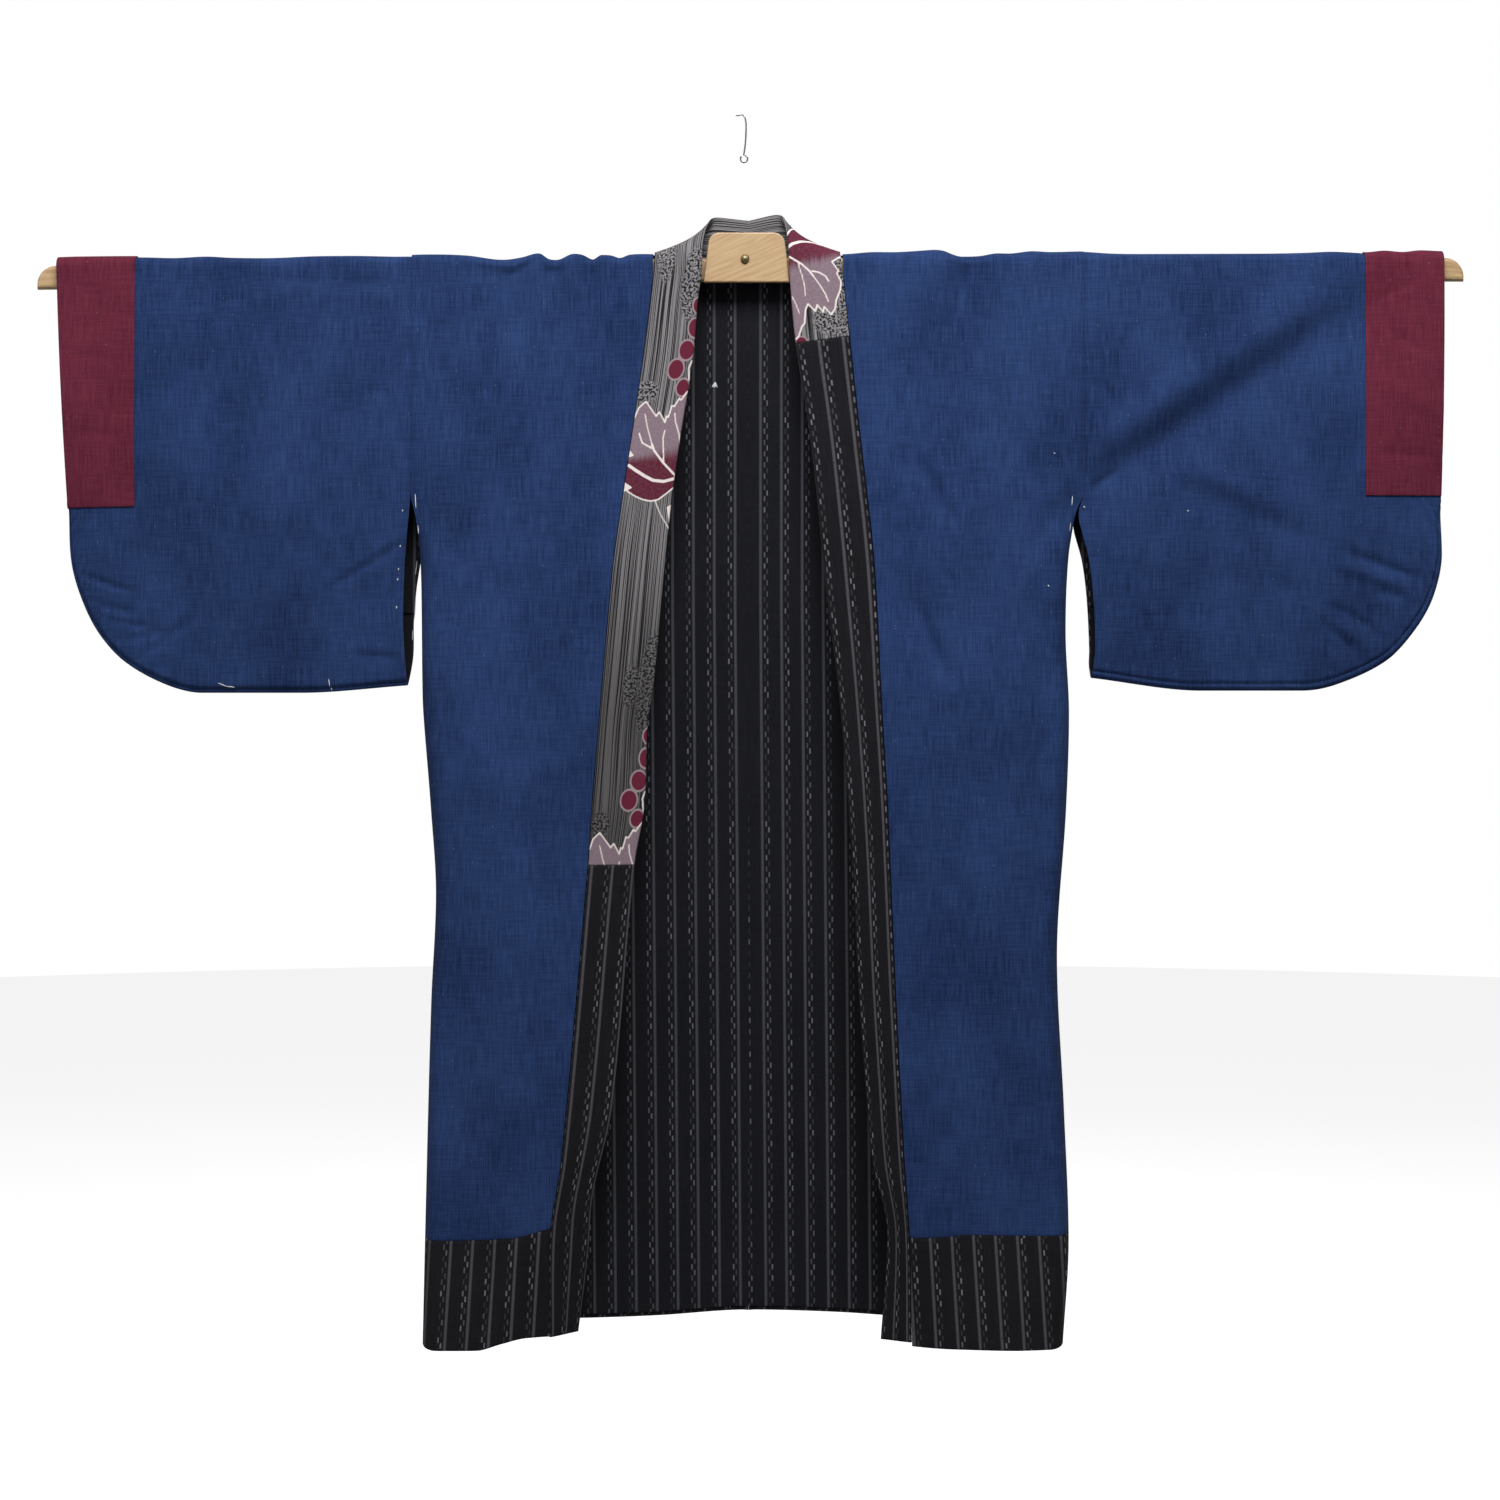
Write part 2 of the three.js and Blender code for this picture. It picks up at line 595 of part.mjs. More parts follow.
function hangerPlate() {
  const { halfBottom, halfTop, top, bottom, corner, x } = plateSize;
  const outline = new THREE.Shape();
  outline.moveTo(x - halfBottom, bottom);
  outline.lineTo(x + halfBottom, bottom);
  outline.lineTo(x + halfTop, top - corner);
  outline.absarc(x + halfTop - corner, top - corner, corner, 0, Math.PI / 2, false);
  outline.absarc(x - halfTop + corner, top - corner, corner, Math.PI / 2, Math.PI, false);
  outline.lineTo(x - halfBottom, bottom);
  const hole = new THREE.Path();
  hole.absarc(boltX, -boltDrop, boltRadius + seamGap + plateEdge, 0, Math.PI * 2, true);
  outline.holes.push(hole);
  const geometry = new THREE.ExtrudeGeometry(outline, {
    depth: plateThickness - 2 * plateEdge,
    bevelThickness: plateEdge,
    bevelSize: plateEdge,
    bevelOffset: -plateEdge,
    bevelSegments: 2,
    curveSegments: 8,
  });
  geometry.rotateX(Math.PI / 2);
  const plate = piece('hanger_plate', geometry, wood());
  plate.position.y = -armThickness / 2 - seamGap - plateEdge;
  return plate;
}

const plateFront = -(armThickness / 2 + seamGap + plateThickness);
const boltEnd = armThickness / 2 + seamGap + nutSize.depth;

// Lathe profiles are [radius, place along -Y]
function turned(points, sides) {
  const profile = points.map(([radius, place]) => new THREE.Vector2(radius, place));
  return new THREE.LatheGeometry(profile, sides);
}

function bolt() {
  const back = -plateFront + seamGap;
  const { radius, height, edge, shoulder, shoulderShare } = boltHead;
  const profile = [[0, -boltEnd], [boltRadius, -boltEnd], [boltRadius, back], [radius, back],
    [radius, back + edge], [radius * shoulderShare, back + shoulder], [0, back + height]];
  const mesh = piece('hanger_bolt', turned(profile, 16), metal(colours.brass));
  mesh.rotation.x = Math.PI;
  mesh.position.set(boltX, 0, -boltDrop);
  return mesh;
}

function nut() {
  const near = armThickness / 2 + seamGap;
  const far = near + nutSize.depth;
  const { inner, outer } = nutSize;
  const profile = [[inner, near], [outer, near], [outer, far], [inner, far], [inner, near]];
  const mesh = piece('hanger_nut', turned(profile, 16), metal(colours.brass));
  mesh.position.set(boltX, 0, -boltDrop);
  return mesh;
}

// A round wire or line along a list of points
function wireGeometry(points, radius, sides, count) {
  const places = points.map((point) => new THREE.Vector3(...point));
  const path = new THREE.CatmullRomCurve3(places, false, 'centripetal');
  const section = new THREE.Shape();
  for (let i = 0; i < sides; i += 1) {
    const turn = (i / sides) * Math.PI * 2;
    const at = [radius * Math.cos(turn), radius * Math.sin(turn)];
    if (i === 0) {
      section.moveTo(...at);
    } else {
      section.lineTo(...at);
    }
  }
  section.closePath();
  return new THREE.ExtrudeGeometry(section, { steps: count, extrudePath: path, bevelEnabled: false });
}

// The wall hook's wire from its free end down to the ring
const shankPoints = [[-12, 0, 131.4], [-9, 0, 131.2], [-6.1, 0, 132.1], [-3.6, 0, 129.6], [-2.5, 0, 125],
  [-2.3, 0, 119], [-2.6, 0, 110], [-3.4, 0, 101]];

function hook() {
  const { x, z, radius, neck, firstTurn, openTurn } = ring;
  const around = steps(10).map((share) => {
    const turn = Math.PI / 2 + firstTurn - share * (Math.PI * 2 - openTurn);
    return [x + radius * Math.cos(turn), 0, z + radius * Math.sin(turn)];
  });
  const points = [...shankPoints, [x, 0, z + radius + neck], ...around];
  return piece('wall_hook', wireGeometry(points, wireRadius, 8, 44), metal(colours.steel));
}

// The line hooks over the ring, runs down behind the plate and passes round the bolt
function line() {
  const near = boltRadius + seamGap * 2 + lineRadius;
  const over = wireRadius + seamGap + lineRadius;
  const low = ring.z - ring.radius;
  const points = [[ring.x, over, low - 4], [ring.x, over, low],
    [ring.x, 0, low + over], [ring.x, -over, low],
    [ring.x, -over * 0.5, low - 6], [ring.x + 0.4, 0, low - 20], [boltX + near * 0.6, 0, 12],
    [boltX + near, 0, -boltDrop + 2], [boltX + near, 0, -boltDrop], [boltX, 0, -boltDrop - near],
    [boltX - near, 0, -boltDrop], [boltX - near, 0, -boltDrop + 6]];
  return piece('hanging_line', wireGeometry(points, lineRadius, 6, 60), clear());
}

const group = new THREE.Group();
const coat = new THREE.Group();
coat.position.set(-hookTop.x, 0, -hookTop.z);
group.add(coat);

['left', 'right'].forEach((side) => {
  coat.add(piece(`front_${side}`, frontPanel(side), cloth(colours.indigo)));
  coat.add(piece(`back_${side}`, backPanel(side), cloth(colours.indigo)));
  coat.add(piece(`sleeve_${side}`, sleeve(side), cloth(colours.indigo)));
  coat.add(piece(`cuff_${side}`, cuff(side), cloth(colours.maroon)));
  coat.add(piece(`hem_front_${side}`, frontHemBand(side), cloth(colours.stripe)));
  coat.add(piece(`hem_back_${side}`, backHemBand(side), cloth(colours.stripe)));
  coat.add(piece(`collar_${side}`, plainCollar(side), cloth(colours.stripe)));
  coat.add(piece(`lining_${side}`, backLining(side), cloth(colours.lining)));
  coat.add(piece(`sleeve_lining_${side}`, sleeveLining(side), cloth(colours.lining)));
  coat.add(hangerArm(side));
});
coat.add(piece('collar_patterned', patternedCollar(), cloth(colours.collar)));
coat.add(hangerPlate(), bolt(), nut(), hook(), line());

export default group;
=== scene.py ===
import math

import bmesh
import bpy
import numpy as np
from mathutils import Matrix, Vector


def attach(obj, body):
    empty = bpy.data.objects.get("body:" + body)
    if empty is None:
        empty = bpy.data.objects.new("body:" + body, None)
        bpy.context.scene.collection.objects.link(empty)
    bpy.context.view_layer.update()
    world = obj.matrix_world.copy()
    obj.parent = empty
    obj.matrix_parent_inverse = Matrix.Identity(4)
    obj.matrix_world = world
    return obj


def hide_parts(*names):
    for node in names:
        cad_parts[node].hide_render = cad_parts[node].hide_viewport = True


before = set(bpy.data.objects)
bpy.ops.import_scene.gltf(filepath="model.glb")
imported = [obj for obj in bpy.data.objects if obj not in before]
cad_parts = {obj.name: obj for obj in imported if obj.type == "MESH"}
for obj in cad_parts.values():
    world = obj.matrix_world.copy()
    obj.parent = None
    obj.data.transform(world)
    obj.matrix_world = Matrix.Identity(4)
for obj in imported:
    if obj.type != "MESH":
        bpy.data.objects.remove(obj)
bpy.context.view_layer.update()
scene = bpy.context.scene

photoView = {"x": 0.0075, "away": 2.2, "height": -0.5967, "lens": 56.17}


def placeObject(name, data):
    made = bpy.data.objects.new(name, data)
    scene.collection.objects.link(made)
    return made


def makeCamera():
    camera = placeObject("camera", bpy.data.cameras.new("camera"))
    camera.data.lens = photoView["lens"]
    camera.location = (photoView["x"], -photoView["away"], photoView["height"])
    camera.rotation_euler = (math.pi / 2, 0, 0)
    scene.camera = camera


makeCamera()
print("camera made")

# Coat sizes are in millimetres from the middle of the shoulder line, x to the viewer's right,
# y away from the viewer, "drop" the way down. The frame is in metres and starts at the hook.
metres = 0.001
hook = {"x": -6.1, "z": 131.4}
wall = {"cloth": 1.2, "lining": 1.0, "cuff": 1.0, "gap": 0.3, "collarGap": 0.7}
halfGap = wall["gap"] / 2
liningInset = (wall["cloth"] + wall["lining"]) / 2 + wall["gap"]
cuffLift = (wall["cloth"] + wall["cuff"]) / 2 + wall["gap"]
sides = {"left": -1, "right": 1}  # with the direction of outwards along x


def toFrame(points):
    return (np.asarray(points, float) - (hook["x"], 0, hook["z"])) * metres


def mix(a, b, share):
    return a + (b - a) * share


def ease(start, end, value):
    share = np.clip((value - start) / (end - start), 0, 1)
    return share * share * (3 - 2 * share)


def bell(off, width):
    return np.exp(-(off / width) ** 2)


def curveAt(place, stops, values):
    # smooth curve through the values at the stops, level beyond its two ends
    place = np.asarray(place, float)
    values = [np.broadcast_to(value, place.shape) for value in values]
    last = len(stops) - 1

    def slope(i):
        before, after = max(i - 1, 0), min(i + 1, last)
        rise = (values[after] - values[before]) / (stops[after] - stops[before])
        if 0 < i < last:
            turns = (values[after] - values[i]) * (values[i] - values[before]) <= 0
            rise = np.where(turns, 0, rise)
        return rise

    slopes = [slope(i) for i in range(last + 1)]
    result = np.where(place < stops[0], values[0], values[-1])
    for i in range(last):
        span = stops[i + 1] - stops[i]
        s = (place - stops[i]) / span
        level = mix(values[i], values[i + 1], s * s * (3 - 2 * s))
        lean = span * s * (1 - s) * ((1 - s) * slopes[i] - s * slopes[i + 1])
        result = np.where((s >= 0) & (s <= 1), level + lean, result)
    return result


def smoothLine(*points):
    stops = [point[0] for point in points]
    columns = list(zip(*[point[1:] for point in points]))

    def line(place):
        found = [curveAt(place, stops, column) for column in columns]
        return found[0] if len(found) == 1 else found

    return line


# Outlines as [drop, x] unless a line says otherwise
sideEdge = {
    "left": smoothLine(
        [0, -316], [224, -316], [250, -311], [285, -307.6], [320, -306.4], [400, -305.4],
        [430, -304.4], [520, -297], [600, -292], [700, -296], [870, -300], [1020, -303]),
    "right": smoothLine(
        [0, 315], [224, 315], [236, 309], [250, 304.5], [295, 299], [355, 297], [430, 300], [520, 297],
        [660, 288], [800, 294], [920, 298], [1020, 292]),
}
innerSleeveEdge = {
    "left": smoothLine(
        [0, -316.3], [224, -316.3], [262, -319.4], [295, -322], [345, -323.5], [404, -320.5]),
    "right": smoothLine(
        [0, 315.3], [224, 315.3], [232, 311.8], [238, 309.8], [247, 308.8], [259, 311.3], [287, 318.6],
        [327, 323.3], [370, 324.8], [397, 322]),
}
# Lower edges and the cut of the neck as [x, drop]
hemDrop = {
    "left": smoothLine(
        [-310, 1016], [-282, 1017], [-250, 1017], [-226, 1011], [-205, 1007], [-158, 1008]),
    "right": smoothLine([122, 1012], [144, 1015], [187, 1017], [240, 1017], [300, 1015]),
}
bandDrop = {
    "left": smoothLine([-310, 917], [-251, 916], [-215, 914], [-185, 907]),
    "right": smoothLine([150, 915], [180, 914], [205, 912], [300, 912]),
}
backHemDrop = smoothLine(
    [-310, 1006], [-158, 1003], [-84, 1000], [0, 995], [86, 997], [160, 1002], [310, 1006])
neckCut = smoothLine([0, 18], [46, 17.5], [60, 15.5], [70, 11.5], [78, 5], [83, 1.6], [89, 0])
# How far the cloth stands out from the shoulder line as [drop, y]
frontDepth = smoothLine([0, 9], [120, 13], [250, 19], [500, 30], [750, 42], [1020, 52])
frontMiddleDepth = smoothLine([0, 9], [120, 12], [250, 20], [500, 30], [750, 39], [1020, 47])
backDepth = smoothLine([0, 9], [40, 10], [300, 12], [700, 13], [1020, 15])
sideDepth = smoothLine([224, 0], [500, 4], [1020, 14])

neckWay = 100  # below the neck the way along the collar is the drop plus this


def collarLine(*points):
    # a collar edge as [way from the middle of the back, x, y, z]; below the neck z follows from the way
    return smoothLine(*[point if len(point) == 4 else point + [neckWay - point[0]] for point in points])


collarSeam = {
    "left": collarLine(
        [0, 0, 10, -17], [36, -46, 10.5, -16], [60, -72, 9.8, -10], [72, -80, 7.5, -3],
        [80, -85, 4, 0.4], [88, -88, 0, 1], [95, -88.3, -5, -1], [102, -88.6, -8.6, -6.5],
        [120, -89.5, -10], [200, -99, -12], [332, -118, -19], [400, -127, -23], [612, -145, -31],
        [672, -149, -32], [944, -173, -41], [1010, -183, -42], [1108, -184, -37]),
    "right": collarLine(
        [0, 0, 10, -17], [36, 46, 10.5, -16], [60, 70, 9.8, -10], [72, 78, 7.5, -3], [80, 83, 4, 0.6],
        [88, 86, 0, 1.6], [95, 86.4, -5, -0.6], [102, 87, -8.6, -6.5], [120, 88.5, -10],
        [200, 97, -12], [276, 105, -16], [388, 117, -22], [523, 124, -28], [612, 129, -31],
        [781, 136, -37], [944, 144, -42], [1016, 149, -42], [1112, 151, -40]),
}
collarFold = {
    "left": collarLine(
        [0, 0, 13, 35], [30, -29, 12, 38], [60, -36.5, 3, 30.5], [80, -40.5, -6, 19.5],
        [100, -43, -12.5, 3], [120, -43.5, -14.5, -18], [147, -47.5, -13.5], [200, -52, -14],
        [276, -64, -16], [344, -73, -17], [500, -88, -20], [544, -94, -21], [618, -97, -23],
        [672, -106, -24], [898, -127, -26], [979, -145, -24], [1036, -150, -19], [1108, -159.5, -12]),
    "right": collarLine(
        [0, 0, 13, 35], [28, 26, 12, 40.5], [60, 33, 3, 33], [80, 35.5, -6, 21.5],
        [100, 37.5, -12.5, 3], [120, 38, -14.5, -18], [185, 44, -13.5], [276, 58, -16], [412, 72, -18],
        [522, 85, -20], [658, 96, -22], [783, 102, -25], [867, 108, -27], [946, 115, -29],
        [1014, 129, -30], [1112, 123, -26]),
}
collarJoin = {"left": 672, "right": 182}
joinSlant = {"left": 0, "right": 7, "fade": 30}
collarHem = {"left": 1108, "right": 1112}

# The sleeve's seam line under the arm as [share of the way, x, z]
sleeveSeam = {
    "left": smoothLine(
        [0, -320.5, -404], [0.22, -420, -411], [0.45, -514, -411], [0.53, -548, -403],
        [0.64, -587, -381], [0.72, -611, -354], [0.8, -627, -321], [0.89, -636, -287],
        [1, -638, -240]),
    "right": smoothLine(
        [0, 322, -397], [0.22, 425, -409], [0.45, 520, -409], [0.53, 553, -403], [0.64, 599, -381],
        [0.72, 626, -352], [0.8, 643, -321], [0.89, 651, -282], [1, 649, -240]),
}
body = {"underarm": 224, "armholeEase": 60, "sideCurl": 16, "curlShare": 0.12, "backBand": 102, "foldOver": 9,
        "neckDrop": 20, "frontStops": (0, 0.3, 0.7, 1), "backStops": (0, 0.35, 1), "backMiddleDepth": 1}
backWave = {"rise": 1.5, "across": 9, "down": 260, "starts": 60, "full": 400}
nearDrops = {"band": 910, "hem": 1000, "backHem": 950}  # where the x for the lower edges is read
sleeveCut = {"drop": 405, "cuffAlong": 0.76, "innerEdgeShare": 0.25, "valleyShare": 0.2,
             "calmShare": 0.02, "seamRound": 8, "seamHalf": 5, "fullness": 5,
             "topX": {"left": -648, "right": 651}, "topZ": {"left": -3.3, "right": 1},
             "cuffX": {"left": -574, "right": 577}, "cuffDrop": {"left": 235, "right": 228}}

# Where the lines of the stripes run, in metres
hemLines = {"left": -0.2522, "right": 0.2063, "lean": 0.06, "leanFrom": -0.9}
liningFit = {"leanFrom": -0.325, "leanShare": 0.0079, "middleLine": {"left": 0.0127, "right": 0.0113},
             "aboveHem": 4}

# Creases and folds: each runs straight from one x, z to the next, with a width and a height
# towards the outside of the coat
folds = {
    "front_left": [
        (-204, -560, -214, -1010, 26, 7), (-229, -21, -193, -3, 5, -2.4),
        (-196, -8, -220, -90, 10, -2.6), (-182, -10, -196, -100, 10, 2),
        (-266, -174, -249, -165, 4, -1), (-110, -40, -146, -330, 10, -2.2),
        (-128, -60, -166, -360, 14, 1.8), (-160, -420, -196, -820, 16, -2.6),
        (-300, -230, -262, -300, 12, -2.4), (-270, -420, -246, -700, 22, 2.4),
        (-286, -620, -262, -880, 14, -2.2), (-222, -900, -246, -1008, 9, -3)],
    "front_right": [
        (118, -60, 150, -420, 20, -4), (165, -880, 140, -1010, 20, 6), (150, -965, 126, -1018, 5, -3),
        (200, -12, 192, -80, 9, -2.4), (172, -6, 182, -90, 10, 2.2), (128, -130, 150, -380, 9, 1.8),
        (310, -218, 258, -286, 11, -2.6), (205, -380, 226, -720, 24, 2.6),
        (262, -520, 272, -860, 16, -2.4), (176, -560, 188, -850, 12, -2),
        (150, -316, 186, -402, 7, -5), (156, -190, 194, -256, 7, -4)],
    "back_left": [
        (-300, -60, -150, -230, 22, 4), (-270, -200, -120, -330, 24, -3),
        (-220, -480, -236, -960, 26, 3.4), (-90, -420, -84, -940, 24, -3),
        (-308, -228, -236, -300, 9, -3.4), (-100, -30, -128, -250, 9, -3.2),
        (-62, -26, -78, -210, 8, 2.6), (-190, -10, -204, -90, 9, -2.6),
        (-250, -690, -264, -1000, 12, 4), (-150, -560, -156, -860, 12, -2.8)],
    "back_right": [
        (296, -70, 140, -260, 24, 4), (250, -230, 130, -350, 22, -3), (190, -440, 214, -950, 26, 3.4),
        (70, -300, 76, -900, 22, -2.6), (308, -228, 240, -292, 9, -3.4), (96, -30, 124, -270, 9, -3.2),
        (150, -30, 172, -200, 10, 2.6), (206, -10, 220, -100, 9, -2.6), (204, -720, 216, -1000, 12, 4),
        (120, -600, 132, -900, 12, -2.8)],
    "sleeve_left": [
        (-330, -250, -450, -330, 34, 3), (-322, -30, -476, -21, 4.5, -2.2),
        (-318, -40, -470, -36, 8, 1.2), (-322, -270, -392, -314, 3, -2.4),
        (-318, -262, -384, -303, 4, 1.2), (-410, -262, -470, -318, 26, -3),
        (-616, -262, -560, -318, 10, 1.4), (-626, -301, -580, -317, 3.6, -3.4),
        (-616, -327, -574, -338, 3.6, -3.2), (-605, -343, -558, -351, 3.6, -2.8),
        (-590, -364, -543, -353, 3.8, -2.8), (-569, -380, -522, -343, 4, -3),
        (-516, -384, -517, -411, 3.4, -1.4), (-376, -369, -322, -372, 4, 1.5),
        (-366, -377, -322, -380, 3.6, -2), (-335, -134, -356, -128, 5, -1.2),
        (-500, -60, -560, -210, 26, 2.4), (-420, -70, -452, -230, 20, -2),
        (-636, -96, -596, -99, 3.4, -0.9), (-630, -168, -586, -172, 4, -0.9)],
    "sleeve_right": [
        (304, -199, 566, -19, 22, 7.5), (319, -222, 580, -42, 22, -7.5),
        (318, -222, 346, -204, 4, -2.2), (322, -118, 344, -142, 6, -1.8),
        (410, -218, 528, -272, 12, -2.6), (396, -196, 520, -246, 14, 2),
        (470, -300, 600, -352, 12, -2), (582, -47, 628, -24, 4, -1.6), (606, -78, 634, -94, 4, -1.3),
        (586, -186, 648, -192, 3.2, -1.2), (590, -120, 646, -150, 9, 1.4),
        (562, -281, 636, -307, 4.4, -4.6), (552, -292, 612, -311, 5, 3.6),
        (588, -316, 613, -322, 4, -3.6), (608, -319, 628, -333, 3.8, -3.6),
        (614, -333, 634, -341, 3.2, -2.6), (546, -331, 580, -348, 4.2, -4.2),
        (574, -344, 590, -357, 3.8, -4.2), (584, -354, 606, -368, 3.8, -4),
        (549, -344, 584, -375, 4, 3.6), (538, -346, 568, -370, 3.8, -4.4),
        (560, -364, 577, -385, 3.8, -4.4), (532, -362, 549, -384, 3.8, 3),
        (594, -320, 599, -337, 3.2, 2.2), (479, -368, 480, -402, 4, -1.4),
        (463, -388, 466, -404, 2.8, 1), (502, -382, 504, -402, 3.4, -1.3),
        (436, -384, 438, -404, 3.4, -1.2)],
    "sleeveBack_left": [
        (-324, -230, -520, -90, 24, 4), (-340, -280, -540, -150, 24, -3.4),
        (-400, -330, -560, -280, 18, 2.4), (-318, -226, -424, -150, 9, -3.2),
        (-560, -330, -606, -346, 4, -2.2), (-540, -352, -576, -378, 4, 2)],
    "sleeveBack_right": [
        (330, -60, 480, -240, 26, 3.4), (360, -300, 560, -250, 22, -3),
        (420, -130, 570, -190, 18, 2.2), (318, -226, 432, -140, 9, -3.2),
        (560, -330, 616, -346, 4, -2.2), (548, -352, 584, -378, 4, 2)],
}
foldFade = {"starts": (-0.15, 0.25), "ends": (0.75, 1.15)}

# How far the fold over the hanger rises or sinks, as [x, height]
topLift = {
    "body": smoothLine(
        [-315, -0.5], [-298, -0.2], [-264, -1.3], [-239, -4.8], [-230, -5.2], [-213, -3], [-197, 0.9],
        [-188, -4.4], [-180, -5.4], [-164, 0.4], [-156, -0.6], [-146, -5], [-138, -0.7], [-129, -1.2],
        [-121, -3.6], [-111, -0.4], [-88, 0], [88, 0], [115, 1.9], [140, 2], [166, 3.6], [174, 4.1],
        [183, 3.2], [191, 0], [200, -2.3], [217, -1.8], [234, 0.8], [244, 0.6], [267, 2.8], [284, 2],
        [310, 2.6]),
    "sleeve_left": smoothLine(
        [-646, -0.8], [-628, -0.4], [-569, -0.6], [-539, -1.5], [-510, -0.4], [-485, -1.8],
        [-451, -2.4], [-408, -1.1], [-379, -1], [-332, -2.2]),
    "sleeve_right": smoothLine(
        [316, 2.2], [343, 0.4], [380, 0], [480, 0], [521, 0.6], [547, 1.6], [572, 0.4], [580, -0.2],
        [597, 1.2], [614, -0.1], [631, 1.4], [648, 0.6]),
}
lift = {"reach": 46, "furrow": 0.8, "furrowReach": 70, "furrowStarts": (2, 16)}

# Where the sleeves' back layer stands out behind the front layer's inner edge, as [drop, width]
backReach = {
    "left": smoothLine(
        [224, 0], [236, 3], [248, 6.2], [260, 8.6], [286, 12], [300, 10.8], [312, 9.6], [340, 8],
        [375, 6.5], [404, 0]),
    "right": smoothLine([224, 0], [236, 0.5], [247, 2.2], [262, 4], [290, 3.8], [380, 3.4], [397, 0]),
}
seams = {"valley": 2.0, "valleyWidth": 3, "valleyEnds": 10, "middleStarts": (20, 60),
         "hemGroove": 1.8, "hemGrooveWidth": 1.5, "hemGrooveUp": {"left": 3, "right": 6},
         "pucker": 1.7, "puckerReach": 22, "puckerTurns": 24, "puckerBeats": (6.3, 1.9, 2.3),
         "puckerSway": 1.7, "puckerEven": 0.6, "puckerAlong": (0.35, 0.6), "puckerCalm": 8}


def foldHeight(name, x, z):
    height = 0
    for startX, startZ, endX, endZ, width, rise in folds[name]:
        alongX, alongZ = endX - startX, endZ - startZ
        length = math.hypot(alongX, alongZ)
        way = ((x - startX) * alongX + (z - startZ) * alongZ) / length ** 2
        off = ((x - startX) * alongZ - (z - startZ) * alongX) / length
        fade = ease(*foldFade["starts"], way) * (1 - ease(*foldFade["ends"], way))
        height = height + rise * fade * bell(off, width)
    return height


def calmed(share):
    # folds die away towards both edges of a sheet
    return np.sqrt(np.sin(np.pi * np.clip(share, 0, 1)))


def lifted(name, x, drop):
    # the rise of the cloth's top edge, and the furrows that run down from it
    rise = topLift[name](x)
    furrow = rise * lift["furrow"] * ease(*lift["furrowStarts"], drop) * bell(drop, lift["furrowReach"])
    return rise * (1 - ease(0, lift["reach"], drop)), furrow


def wrapRise(drop):
    return np.sqrt(1 - (1 - np.clip(drop / body["foldOver"], 0, 1)) ** 2)


def sleeveHalf(share, height):
    toSeam = np.clip((1 - share) * height / sleeveCut["seamRound"], 0, 1)
    return mix(body["foldOver"], sleeveCut["seamHalf"], share) * np.sqrt(1 - (1 - toSeam) ** 2) \
        + sleeveCut["fullness"] * np.sin(np.pi * np.clip(share, 0, 1))


def armholeHalf(drop):
    drop = np.minimum(drop, body["underarm"])
    return sleeveHalf(drop / sleeveCut["drop"], sleeveCut["drop"])


def belowArm(drop):
    return ease(body["underarm"], body["underarm"] + body["armholeEase"], drop)


def panelPoint(side, across, drop, width, edgeY, sheetY):
    # a body panel from its side seam at 0 to its inner edge at 1, curling in at the side seam
    curl = belowArm(drop)
    share = body["curlShare"]
    turn = np.clip(across / share, 0, 1) * np.pi / 2
    curled = mix(across * width, body["sideCurl"] * (1 - np.cos(turn)), curl)
    curledY = mix(sheetY(across), mix(edgeY, sheetY(np.full_like(drop, share)), np.sin(turn)), curl)
    flat = mix(mix(share * width, body["sideCurl"], curl), width, (across - share) / (1 - share))
    inward = np.where(across < share, curled, flat)
    return sideEdge[side](drop) - sides[side] * inward, np.where(across < share, curledY, sheetY(across))


def sideValley(x, side, drop):
    # the seam between body and sleeve lies a little below the cloth on both its sides
    ends = body["underarm"] - seams["valleyEnds"], body["underarm"] + seams["valleyEnds"]
    off = np.abs(x - sideEdge[side](drop))
    return seams["valley"] * bell(off, seams["valleyWidth"]) * (1 - ease(*ends, drop))


def frontPoint(side, across, drop):
    across, drop = np.broadcast_arrays(np.asarray(across, float), np.asarray(drop, float))
    opened = 1 - belowArm(drop)
    seamX, seamY, _ = collarSeam[side](np.maximum(drop, body["neckDrop"]) + neckWay)
    width = np.abs(sideEdge[side](drop) - seamX)
    edgeY = -mix(sideDepth(drop) + halfGap, armholeHalf(drop), opened)

    def sheetY(place):
        return curveAt(place, body["frontStops"], (mix(-frontDepth(drop), edgeY, opened),
                                                   -frontDepth(drop), -frontMiddleDepth(drop), seamY))

    x, y = panelPoint(side, across, drop, width, edgeY, sheetY)
    calm = calmed(across)
    up, out = lifted("body", x, drop)
    y = y - foldHeight(f"front_{side}", x, -drop) * calm - out * calm + sideValley(x, side, drop)
    return np.stack([x, y * wrapRise(drop), up - drop], axis=-1)


